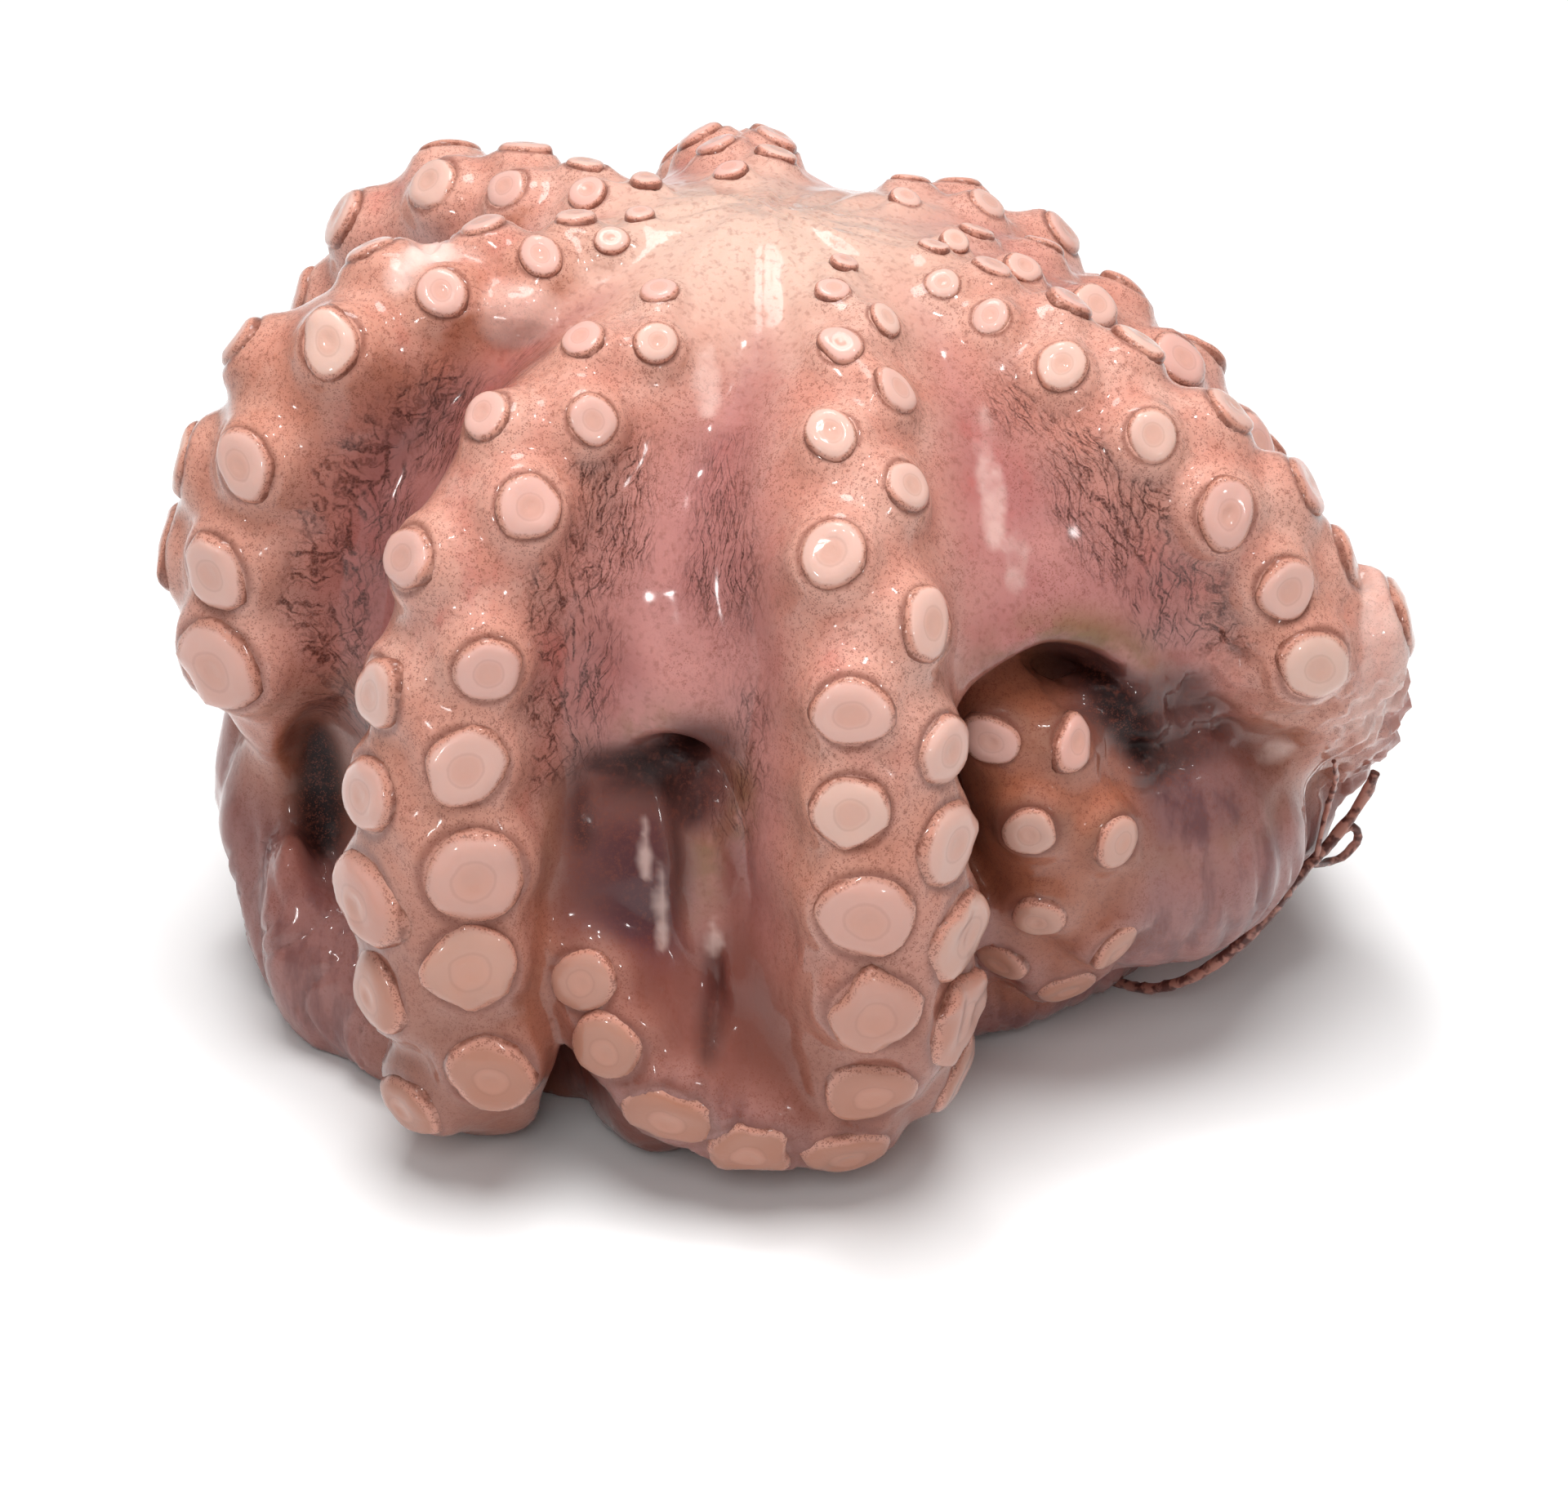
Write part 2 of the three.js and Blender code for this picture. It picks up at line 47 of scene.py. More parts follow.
log = logging.getLogger("octopus")
logging.basicConfig(level=logging.INFO, format="%(name)s: %(message)s")

Array = np.ndarray
Socket = bpy.types.NodeSocket
Colour = tuple[float, float, float]  # in steps of 0 to 255
Tone = Socket | Colour

MM = 0.001
MOUTH_AXIS = (-3.0, -0.56)  # where the mouth stands in the part's frame, in millimetres
MIDDLE_OF_BODY = (0.0, 0.0, 55.0)  # the suckered sides of the arms face away from here
STATION_STEP = 3.0  # the step along an arm or fold
ARM_BLEND = 13.0  # the fillet between an arm and the web
FAR = 60.0  # the distance kept where no flesh is near
SKIN_CELL = 1.33  # the grid that the skin is drawn from


# ---------------------------------------------------------------- plans, in millimetres


@dataclass(frozen=True)
class DomePlan:
    """The web and mantle inside the ring of arms."""

    crown: float = 131.0
    waist: float = 62.0
    roundness: float = 2.4
    webs: tuple[tuple[float, float, float], ...] = (
        (20, 76, 70), (70, 64, 60), (118, 70, 63), (165, 75, 69), (190, 77, 80),
        (209, 72, 79), (222, 69, 70), (236, 68, 62), (262, 69, 60), (286, 70, 60),
        (309, 75, 44), (325, 80, 54), (341, 82, 66),
    )


@dataclass(frozen=True)
class ArmPlan:
    """One arm: angles and girths at the mouth, shoulder, waist, foot, tuck and tip."""

    name: str
    angles: tuple[float, ...]
    girths: tuple[float, ...]
    reach: float
    waist: float
    roundness: float
    crown: float
    foot: tuple[float, float]
    tuck: tuple[float, float]
    tip: tuple[float, float]
    first_sucker: float = 16.0
    pace: float = 1.0
    sucker_scale: float = 1.0
    facing: float = 0.0
    lead: int = 1
    twist: float = 0.0
    last_sucker: float = 400.0
    lean: float = 32.0


@dataclass(frozen=True)
class SuckerRow:
    """Suckers along a fold: where they start, their widths, rows and lean."""

    start: float
    widths: tuple[float, ...]
    rows: tuple[int, ...]
    lean: tuple[float, float]
    stop: float = 3.0
    pitch: float = 1.25


@dataclass(frozen=True)
class FoldPlan:
    """A run of flesh through stations of compass angle, radius, height and girth."""

    name: str
    blend: float
    middle: tuple[float, float, float]
    stations: tuple[tuple[float, float, float, float], ...]
    suckers: SuckerRow | None = None


@dataclass(frozen=True)
class LumpPlan:
    """An ellipsoid of flesh, or of empty space: half sizes across, along and up.

    A lump of torn flesh also says how pale it is, from 0 to 1.
    """

    name: str
    centre: tuple[float, float, float]
    half: tuple[float, float, float]
    turn: float
    blend: float
    torn: float = 0.0


@dataclass(frozen=True)
class Spot:
    """Where a tone of the skin gathers: a place, half sizes and a strength."""

    name: str
    centre: tuple[float, float, float]
    half: tuple[float, float, float]
    strength: float
    turn: float = 0.0


@dataclass(frozen=True)
class SeatPlan:
    """How a sucker is seated, in its widths, except step and furthest in millimetres.

    Its face stands off the flesh by rise. It shows if there is free space at a point
    ahead of its face, and if neither its face nor that point is too near the floor.
    """

    step: float = 0.25
    furthest: float = 9.0
    rise: float = 0.40
    ahead: float = 0.5
    free: float = 0.35
    off_floor: float = 0.45
    ahead_off_floor: float = 0.05
    cup_size: float = 1.1


@dataclass(frozen=True)
class MoundPlan:
    """The mound under a sucker and the clear space over its face, in widths of the sucker."""

    flat: float = 0.37
    soft: float = 0.27
    drop: float = 0.085
    flare: float = 0.3
    depth: float = 0.8
    blend: float = 0.4
    widest_blend: float = 4.5
    clear: float = 0.56
    clear_height: float = 0.8
    clear_blend: float = 0.8


@dataclass(frozen=True)
class Relief:
    """Sizes in millimetres of what takes the drawn look off the skin.

    A pair is a height and a length. Creases go round the body, pleats run to the mouth.
    """

    swell: tuple[float, float] = (0.7, 17.0)
    ripple: tuple[float, float] = (0.35, 7.0)
    crease_bend: tuple[float, float] = (7.0, 16.0)
    crease_radius: float = 80.0
    crease_pace: float = 5.0
    crease_length: float = 26.0
    crease_rise: float = 1.1
    crease_depth: float = 4.4
    crease_width: float = 0.25
    pleat: float = 1.6
    pleat_count: float = 7.0
    pleat_length: float = 30.0
    torn: tuple[float, float] = (2.4, 3.2)
    veil: float = 3.2
    veil_lengths: tuple[float, float, float] = (9.0, 9.0, 3.5)
    veil_fine: tuple[float, float] = (1.2, 2.6)
    ragged: tuple[float, float] = (2.0, 5.5)
    ragged_fine: tuple[float, float] = (1.4, 2.4)
    floor_fade: float = 4.0


@dataclass(frozen=True)
class Unevenness:
    """How much neighbouring suckers differ: shares of width and pace, degrees, and nod."""

    width: float = 0.06
    pace: float = 0.05
    lean: float = 4.0
    nod: float = 0.08


ARMS = (
    ArmPlan("front", (298, 283, 281, 282.5, 281, 280), (8, 11.5, 14, 13, 11, 5), 76, 48, 2.5,
            128, (68, 20), (56, 8), (20, 10), 11.5, 0.92, 0.97, 9, -1, 22, 150, 27),
    ArmPlan("front_left", (240, 230, 231.5, 235.5, 229, 240), (8, 12, 15.5, 15, 12, 5), 76, 58, 2.6,
            128, (79, 22), (66, 8), (22, 10), 19, 1.02, 0.97, 13, 1, 0, 172, 29),
    ArmPlan("left", (190, 191, 192, 194, 194, 190), (8, 13, 16.5, 14, 11, 5), 80, 76, 3.0, 128,
            (75, 54), (50, 40), (24, 20), 11, 0.95, 1.0, 10, 1, 0, 112),
    ArmPlan("back_left", (148, 142, 143, 143, 142, 145), (8, 11.5, 15, 14, 11, 5), 85, 68, 2.8, 124,
            (80, 30), (52, 14), (22, 10), 16, 1.0, 1.0, 4, 1),
    ArmPlan("back", (94, 96, 96, 95, 95, 100), (8, 11, 13, 14, 11, 5), 76, 62, 2.8, 120,
            (70, 26), (50, 13), (20, 10), 16, 1.0, 1.0, 0, -1),
    ArmPlan("back_right", (42, 41, 42, 45, 48, 50), (8, 11, 14, 14, 11, 5), 67, 58, 2.4, 120,
            (70, 26), (50, 13), (20, 10), 16, 1.0, 1.0, 0, 1),
    ArmPlan("right", (8, 5, 4, 3, 4, 5), (8, 11, 13, 13, 11, 5), 79, 56, 1.95, 119,
            (80, 34), (56, 14), (24, 10), 15, 0.88, 0.95, 0, 1, 0, 104),
    ArmPlan("front_right", (340, 335, 341, 350, 352, 340), (8, 12, 14.5, 13, 11, 5), 88, 66, 2.15,
            125, (80, 50), (56, 32), (26, 16), 17, 0.77, 0.88, -8, -1, 0, 106),
)

# folds and bags of flesh outside the arms
FOLDS = (
    FoldPlan("base_fold", 5, (30, -10, 30),
             ((296, 44, 11, 10), (310, 46, 11, 11), (322, 52, 11, 11), (334, 60, 11, 9)),
             SuckerRow(12, (11, 11, 10, 8), (-1,), (2, 2))),
    FoldPlan("left_mass", 8, (0, 0, 30),
             ((176, 70, 42, 18), (186, 72, 33, 19), (197, 73, 21, 17), (208, 72, 14, 16),
              (219, 69, 10, 13))),
    FoldPlan("left_skirt", 7, (0, 0, 30),
             ((176, 71, 16, 12), (188, 75, 11, 13), (202, 76, 9, 13), (216, 73, 8, 12))),
    FoldPlan("left_pleat_1", 5, (0, 0, 30),
             ((183, 86, 50, 5), (185, 90, 34, 5), (186, 89, 19, 5), (185, 84, 5, 4))),
    FoldPlan("left_pleat_2", 5, (0, 0, 30),
             ((192, 84, 47, 4), (191, 89, 32, 5), (194, 88, 18, 5), (198, 85, 4, 4))),
    FoldPlan("left_pleat_3", 5, (0, 0, 30),
             ((203, 82, 40, 4), (203, 86, 28, 4.5), (206, 87, 15, 5), (208, 84, 3, 4))),
    FoldPlan("mantle", 8, (0, 0, 30),
             ((324, 60, 34, 16), (337, 70, 32, 17), (350, 79, 30, 18), (8, 80, 28, 17))),
    FoldPlan("ragged_end", 6, (0, 0, 50),
             ((336, 86, 80, 10), (342, 95, 71, 11), (348, 99, 58, 10), (353, 96, 42, 9))),
)

# spaces under the web, cut out of the flesh
HOLLOWS = (
    LumpPlan("front", (-21, -64, 58), (12, 14, 15), 0, 4),
    LumpPlan("front_top", (-14, -66, 71), (8, 11, 8), 0, 4),
    LumpPlan("right", (43, -58, 66), (22, 19, 23), 38, 4),
    LumpPlan("under_right_web", (69, -55, 60), (24, 11, 8), 33, 4),
    LumpPlan("left", (-67, -41, 47), (8, 20, 19), 35, 5),
)

# folds that lie in the hollows
INNER_FOLDS = (
    FoldPlan("hook", 5, (-6, -52, 34),
             ((281, 73, 20, 10), (272, 74, 20, 10), (264, 74, 22, 9.5), (257, 74, 26, 9),
              (252, 73, 35, 8), (248, 71, 44, 7), (245, 67, 54, 5)),
             SuckerRow(4, (13, 13, 13, 12, 10, 7), (1,), (0, 30), 14, 0.85)),
    FoldPlan("web_margin", 2.5, (0, 0, 60),
             ((242, 65, 66, 3), (249, 63, 71, 4), (256, 62, 72, 4.5), (261, 64, 64, 5),
              (263, 67, 55, 5), (264, 71, 44, 4.5), (266, 77, 31, 3))),
    FoldPlan("curled_arm", 3, (44, -10, 20),
             ((321, 56, 22, 11), (318, 63, 35, 13), (314, 68, 49, 13), (311, 66, 62, 11.5),
              (308, 60, 73, 8.5), (304, 53, 82, 5.5)),
             SuckerRow(8, (9.5, 9, 8.5, 8, 7.5), (1, -1), (26, 27))),
)

# smaller forms in and round the hollows, and torn flesh
LUMPS = (
    LumpPlan("flap", (3, -62, 26), (16, 21, 29), 0, 7),
    LumpPlan("hook_sheet", (-18, -58, 21), (16, 22, 25), 8, 5),
    LumpPlan("tongue", (-23, -56, 44), (9, 12, 24), -15, 4),
    LumpPlan("tongue_ridge", (-17, -57, 53), (3, 10, 15), 8, 3),
    LumpPlan("tongue_top", (-24, -60, 43), (13, 13, 27), -12, 6),
    LumpPlan("rolled_margin", (-10, -64, 50), (7, 10, 25), 10, 3),
    LumpPlan("right_sheet", (66, -46, 52), (13, 6, 14), 30, 3),
    LumpPlan("right_bag", (66, -40, 42), (24, 17, 22), 20, 6),
    LumpPlan("right_veil", (58, -43, 67), (19, 8, 12), 28, 3),
    LumpPlan("torn_white", (-53, -11, 130.5), (8, 6, 5), 20, 1.5, torn=0.9),
    LumpPlan("torn_pink", (-40, -17, 128), (7, 5, 5), -15, 1.5, torn=0.3),
    LumpPlan("torn_scrap", (-46, -8, 132), (6, 4, 3.5), 40, 1.0, torn=0.8),
)

# narrow spaces, cut last
GAPS = (
    LumpPlan("beside_hook", (-33, -69, 12), (5, 17, 22), 25, 4),
    LumpPlan("slit", (-8.5, -80, 38), (2.0, 7, 11), -10, 3),
)

# where the dark pigment gathers
SMUDGES = (
    Spot("front_left_flank_top", (-26, -52, 116), (6, 12, 14), 1.0),
    Spot("front_left_flank", (-32, -63, 93), (6, 10, 19), 0.9),
    Spot("beside_left_arm_mouth", (-38, -34, 127), (7, 6, 7), 0.6),
    Spot("beside_left_arm_top", (-51, -28, 114), (9, 6, 7), 0.9),
    Spot("beside_left_arm", (-65, -29, 99), (7, 7, 9), 1.0),
    Spot("beside_left_arm_middle", (-72, -32, 83), (5, 7, 10), 1.0),
    Spot("beside_left_arm_low", (-69, -33, 65), (5, 7, 9), 0.8),
    Spot("front_right_flank_top", (44, -27, 125), (8, 10, 9), 0.8),
    Spot("front_right_flank", (56, -39, 110), (10, 9, 13), 0.9),
    Spot("front_right_flank_low", (72, -44, 92), (14, 8, 7), 0.8),
    Spot("front_flank", (-8, -54, 109), (5, 11, 20), 0.6),
    Spot("front_flank_low", (-6, -70, 76), (5, 8, 14), 0.45),
)

# painted shade in the darkest places of the hollows
PAINTED_SHADE_SPOTS = (
    Spot("left_cavity", (-75, -27, 42), (4, 6, 14), 1.0),
    Spot("front_slit", (-20, -63, 73), (9, 8, 3), 1.0),
    Spot("front_slit_right", (-9, -67, 80), (5, 7, 3), 0.8),
    Spot("front_slit_left", (-29, -65, 66), (2, 7, 7), 0.8),
)

# pale edges and painted highlights of the wet coat
PALE_EDGES_AND_PAINTED_HIGHLIGHTS = (
    Spot("tongue_ridge_top", (-19, -70, 61), (0.8, 8, 5), 0.4),
    Spot("tongue_ridge", (-16.5, -71, 50), (0.8, 8, 7), 0.4),
    Spot("margin_edge", (-8, -72, 47), (1.4, 8, 4), 0.35),
    Spot("bag_top", (84, -46, 60), (4, 8, 2), 0.4),
    Spot("ragged_end", (100, -30, 72), (10, 12, 16), 0.35),
    Spot("web_gloss_right_top", (34.4, -39.6, 117), (1.6, 7, 7), 0.3),
    Spot("web_gloss_right", (36.2, -47, 110.5), (1.8, 7, 7), 0.36),
    Spot("web_gloss_right_low", (39.5, -52, 103.5), (2.2, 7, 5), 0.25),
    Spot("web_gloss_middle", (-9, -37, 127), (2.0, 8, 4), 0.36),
)

# width and pace of the suckers, by the way along an arm
SUCKER_WIDTH = ((0, 3.5), (14, 5), (30, 7), (45, 8.6), (60, 9.8), (90, 12), (112, 15.6),
                (130, 14.8), (155, 13), (200, 11), (260, 8), (320, 3.5))
SUCKER_PACE = ((12, 5.5), (30, 7.2), (50, 9.3), (66, 9.3), (80, 7.6), (105, 8.6), (135, 8.0),
               (170, 7.2), (230, 5.5), (320, 3.5))


# ---------------------------------------------------------------- numbers


def wobble(n: float) -> float:
    """Repeatable unevenness.

    Args:
        n: any number.
    Returns:
        A value between -1 and 1.
    """
    x = math.sin(n * 12.9898 + 4.1) * 43758.5453
    return 2 * (x - math.floor(x)) - 1


def look_up(table: tuple[tuple[float, float], ...], x: float) -> float:
    """Reads a table of (place, value) pairs with straight lines between them."""
    return float(np.interp(x, [row[0] for row in table], [row[1] for row in table]))


def around(angle: float, radius: float, height: float) -> tuple[float, float, float]:
    """A point by its compass angle in degrees, radius and height."""
    t = math.radians(angle)
    return (radius * math.cos(t), radius * math.sin(t), height)


def smooth_step(x: Array, low: float, high: float) -> Array:
    """0 at low, 1 at high, eased between them; low may be above high."""
    t = np.clip((x - low) / (high - low), 0, 1)
    return t * t * (3 - 2 * t)


def smooth_union(a: Array, b: Array, k: float) -> Array:
    """Union of two distances with a fillet of about k."""
    h = np.clip(0.5 + 0.5 * (b - a) / k, 0, 1)
    return b * (1 - h) + a * h - k * h * (1 - h)


def curve(rows: Array, per_span: int) -> Array:
    """Smooth curve through rows of numbers.

    Args:
        rows: one station a row.
        per_span: how many steps between two stations.
    Returns:
        The stepped rows, ends included.
    """
    p = np.vstack([2 * rows[0] - rows[1], rows, 2 * rows[-1] - rows[-2]])
    out = []
    for i in range(1, len(p) - 2):
        a, b, c, d = p[i - 1], p[i], p[i + 1], p[i + 2]
        for u in np.arange(per_span) / per_span:
            cubic = (-a + 3 * b - 3 * c + d) * u**3
            out.append(0.5 * (2 * b + (c - a) * u + (2 * a - 5 * b + 4 * c - d) * u * u + cubic))
    out.append(rows[-1])
    return np.array(out)


# ---------------------------------------------------------------- runs of arm


class Run:
    """An evenly stepped run of flesh: centres, girths and the way its suckered side faces."""

    def __init__(self, stations: list[tuple[float, ...]], middle: tuple[float, ...],
                 facing: float = 0.0, twist: float = 0.0) -> None:
        """Steps the run.

        Args:
            stations: compass angle, radius, height and girth of each.
            middle: the point that its suckers face away from.
            facing: degrees that its suckered side turns about the run.
            twist: degrees that it turns further by the foot of an arm.
        """
        rows = curve(np.array([(*around(*s[:3]), s[3]) for s in stations], float), 12)
        gaps = np.linalg.norm(np.diff(rows[:, :3], axis=0), axis=1)
        along = np.concatenate([[0], np.cumsum(gaps)])
        self.length = float(along[-1])
        self.count = max(2, round(self.length / STATION_STEP))
        self.step = self.length / self.count
        places = np.arange(self.count + 1) * self.step
        table = np.stack([np.interp(places, along, rows[:, k]) for k in range(4)], 1)
        self.centre, self.girth = table[:, :3], table[:, 3]
        before = self.centre[np.maximum(np.arange(self.count + 1) - 1, 0)]
        after = self.centre[np.minimum(np.arange(self.count + 1) + 1, self.count)]
        self.forward = self._unit(after - before)
        out = self.centre - np.array(middle, float)
        out = self._unit(out - (out * self.forward).sum(1)[:, None] * self.forward)
        side = np.cross(self.forward, out)
        hand = np.where(side[:, 0] * -self.centre[:, 1] + side[:, 1] * self.centre[:, 0] > 0, 1, -1)
        turn = np.radians(facing + twist * smooth_step(places, 70.0, 170.0))
        self.out = np.cos(turn)[:, None] * out + (hand * np.sin(turn))[:, None] * side
        self.side = np.cross(self.forward, self.out)

    @staticmethod
    def _unit(v: Array) -> Array:
        """Vectors made one long."""
        return v / np.linalg.norm(v, axis=1)[:, None]

    def at(self, s: float) -> tuple[Array, float, Array, Array, Array]:
        """The run at a place along it.

        Args:
            s: the distance from its start.
        Returns:
            Centre, girth, and the directions forward, out and to the side.
        """
        f = min(self.count - 1e-6, max(0.0, s / self.step))
        i = int(f)
        u = f - i

        def mix(rows: Array) -> Array:
            """Between two steps."""
            return rows[i] * (1 - u) + rows[i + 1] * u

        return (mix(self.centre), float(mix(self.girth)), mix(self.forward), mix(self.out),
                mix(self.side))

    def nearest(self, points: Array) -> tuple[Array, Array, Array]:
        """How points lie about the run.

        Args:
            points: rows of x, y, z.
        Returns:
            Gap to the run's surface, place along it, and how far round to the suckered side.
        """
        gap = np.full(len(points), 1e9)
        place = np.zeros(len(points))
        oral = np.zeros(len(points))
        for i in range(self.count + 1):
            away = points - self.centre[i]
            distance = np.sqrt((away * away).sum(1)) + 1e-6
            here = distance - self.girth[i]
            closer = here < gap
            gap[closer] = here[closer]
            place[closer] = i * self.step
            oral[closer] = (away[closer] @ self.out[i]) / distance[closer]
        return gap, place, oral


def arm_stations(arm: ArmPlan) -> list[tuple[float, ...]]:
    """The arch of an arm: a superellipse over the shoulder, then foot, tuck and tip.

    Args:
        arm: the arm's plan.
    Returns:
        Compass angle, radius, height and girth of each station.
    """

    def mix(values: tuple[float, ...], k: float) -> float:
        """Between two named values."""
        i = int(k)
        return values[i] + (values[i + 1] - values[i]) * (k - i)

    stations = [(arm.angles[0], 9.0, arm.crown - 1.5, arm.girths[0])]
    for arch, k in ((18, 0.3), (40, 1.0), (62, 1.4)):
        r = arm.reach * math.sin(math.radians(arch)) ** (2 / arm.roundness)
        rise = (arm.crown - arm.waist) * math.cos(math.radians(arch)) ** (2 / arm.roundness)
        stations.append((mix(arm.angles, k), r, arm.waist + rise, mix(arm.girths, k)))
    stations.append((arm.angles[2], arm.reach, arm.waist, arm.girths[2]))
    stations.append((arm.angles[3], *arm.foot, arm.girths[3]))
    stations.append((arm.angles[4], *arm.tuck, arm.girths[4]))
    stations.append((arm.angles[5], *arm.tip, arm.girths[5]))
    return stations


# ---------------------------------------------------------------- the flesh


@dataclass
class Seat:
    """Where a sucker sits: the middle of its face, its axis and its width."""

    place: Array
    axis: Array
    width: float


@dataclass
class Flesh:
    """The body as a grid of distances, negative inside."""

    cell: float
    low: tuple[float, float, float] = (-122.0, -112.0, -4.0)
    high: tuple[float, float, float] = (122.0, 112.0, 152.0)
    dome: DomePlan = DomePlan()
    grid: Array = field(init=False)
    axes: list[Array] = field(init=False)

    def __post_init__(self) -> None:
        """Lays out the empty grid."""
        counts = [int(math.ceil((h - l) / self.cell)) + 1 for l, h in zip(self.low, self.high)]
        self.axes = [(l + self.cell * np.arange(n)).astype(np.float32)
                     for l, n in zip(self.low, counts)]
        self.grid = np.full(counts, FAR, np.float32)
        self.arm_runs = [Run(arm_stations(a), MIDDLE_OF_BODY, a.facing, a.twist) for a in ARMS]
        self.fold_runs = [Run(list(f.stations), f.middle) for f in FOLDS]
        self.inner_runs = [Run(list(f.stations), f.middle) for f in INNER_FOLDS]

    def window(self, low: Array, high: Array) -> tuple[slice, ...] | None:
        """Finds the part of the grid between two corners.

        Args:
            low: the lowest corner.
            high: the highest corner.
        Returns:
            A slice for each axis, or None outside the grid.
        """
        part = []
        for k in range(3):
            a = max(0, int(math.floor((low[k] - self.low[k]) / self.cell)))
            b = min(self.grid.shape[k], int(math.ceil((high[k] - self.low[k]) / self.cell)) + 1)
            if b <= a:
                return None
            part.append(slice(a, b))
        return tuple(part)

    def points(self, part: tuple[slice, ...]) -> list[Array]:
        """Sparse x, y, z of a part of the grid."""
        return np.meshgrid(*[self.axes[k][part[k]] for k in range(3)], indexing="ij", sparse=True)

    def add_dome(self) -> None:
        """Fills in the web and mantle inside the arms."""
        x, y, z = self.points(tuple(slice(0, n) for n in self.grid.shape))
        rows = np.array(self.dome.webs, float)
        angles = np.append(rows[:, 0], rows[0, 0] + 360)
        angle = np.degrees(np.arctan2(y, x)) % 360
        angle = np.where(angle < angles[0], angle + 360, angle)
        i = np.clip(np.searchsorted(angles, angle) - 1, 0, len(angles) - 2)
        u = (angle - angles[i]) / (angles[i + 1] - angles[i])
        u = u * u * (3 - 2 * u)
        waist, floor = [(c[i] * (1 - u) + c[i + 1] * u).astype(np.float32)
                        for c in (np.append(rows[:, k], rows[0, k]) for k in (1, 2))]
        n = self.dome.roundness
        r = np.sqrt(x * x + y * y)
        above = np.maximum(z - self.dome.waist, 0)
        t = np.clip((self.dome.waist - z) / self.dome.waist, 0, 1.2)
        upper = ((r / waist) ** n + (above / (self.dome.crown - self.dome.waist)) ** n) ** (1 / n)
        q = np.where(above > 0, upper, r / (waist + (floor - waist) * t * t))
        distance = (q - 1) / np.maximum(q, 1e-3) * np.sqrt(r * r + above * above)
        distance = np.where(q < 0.3, -30, distance)
        self.grid = np.minimum(self.grid, distance.astype(np.float32))

    def add_run(self, run: Run, blend: float, margin: float = 10.0) -> None:
        """Joins a tapered run onto the flesh.

        Args:
            run: the run.
            blend: the size of the fillet.
            margin: how far round the run its distance is worked out.
        """
        reach = float(run.girth.max()) + 2 * margin + blend
        outer = self.window(run.centre.min(0) - reach, run.centre.max(0) + reach)
        if outer is None:
            return
        tube = np.full(self.grid[outer].shape, FAR, np.float32)
        start = [part.start for part in outer]
        for i in range(run.count):
            a, b = run.centre[i], run.centre[i + 1]
            m = max(run.girth[i], run.girth[i + 1]) + margin + blend
            part = self.window(np.minimum(a, b) - m, np.maximum(a, b) + m)
            if part is None:
                continue
            x, y, z = self.points(part)
            d = (b - a).astype(np.float32)
            px, py, pz = x - a[0], y - a[1], z - a[2]
            u = np.clip((px * d[0] + py * d[1] + pz * d[2]) / float(d @ d), 0, 1)
            gap = np.sqrt((px - u * d[0]) ** 2 + (py - u * d[1]) ** 2 + (pz - u * d[2]) ** 2)
            gap -= run.girth[i] + u * (run.girth[i + 1] - run.girth[i])
            local = tuple(slice(p.start - s, p.stop - s) for p, s in zip(part, start))
            tube[local] = np.minimum(tube[local], gap)
        self.grid[outer] = smooth_union(self.grid[outer], tube, blend)

    def add_lump(self, lump: LumpPlan, cut: bool = False) -> None:
        """Adds an ellipsoid to the flesh, or cuts one out of it.

        Args:
            lump: the ellipsoid.
            cut: whether it is cut out.
        """
        centre, m = np.array(lump.centre, float), max(lump.half) + lump.blend + 4
        part = self.window(centre - m, centre + m)
        if part is None:
            return
        distance = self.lump_distance(self.points(part), lump)
        if cut:
            self.grid[part] = -smooth_union(-self.grid[part], distance, lump.blend)
        else:
            self.grid[part] = smooth_union(self.grid[part], distance, lump.blend)

    @staticmethod
    def lump_distance(points: list[Array], lump: LumpPlan | Spot) -> Array:
        """Distance to an ellipsoid turned about the vertical.

        Args:
            points: x, y and z of the points.
            lump: the ellipsoid.
        Returns:
            The distances, negative inside.
        """
        t = math.radians(lump.turn)
        px, py, pz = [points[k] - lump.centre[k] for k in range(3)]
        across = px * math.cos(t) + py * math.sin(t)
        along = py * math.cos(t) - px * math.sin(t)
        a, b, c = lump.half
        q = np.sqrt((across / a) ** 2 + (along / b) ** 2 + (pz / c) ** 2) + 1e-6
        g = np.sqrt((across / a**2) ** 2 + (along / b**2) ** 2 + (pz / c**2) ** 2) + 1e-6
        return (q * (q - 1) / g).astype(np.float32)

    def read(self, point: Array) -> float:
        """Distance to the flesh at one point.

        Args:
            point: x, y and z.
        Returns:
            The distance, between the cells round it.
        """
        f = (point - np.array(self.low)) / self.cell
        i = np.clip(f.astype(int), 0, np.array(self.grid.shape) - 2)
        u = np.clip(f - i, 0, 1)
        block = self.grid[i[0]:i[0] + 2, i[1]:i[1] + 2, i[2]:i[2] + 2]
        block = block[0] * (1 - u[0]) + block[1] * u[0]
        block = block[0] * (1 - u[1]) + block[1] * u[1]
        return float(block[0] * (1 - u[2]) + block[1] * u[2])

    def read_many(self, points: Array) -> Array:
        """Distance to the flesh at many points.

        Args:
            points: rows of x, y, z.
        Returns:
            The distance at the cell nearest to each.
        """
        cells = np.rint((points - np.array(self.low)) / self.cell).astype(int)
        i = np.clip(cells, 0, np.array(self.grid.shape) - 1)
        return self.grid[i[:, 0], i[:, 1], i[:, 2]]

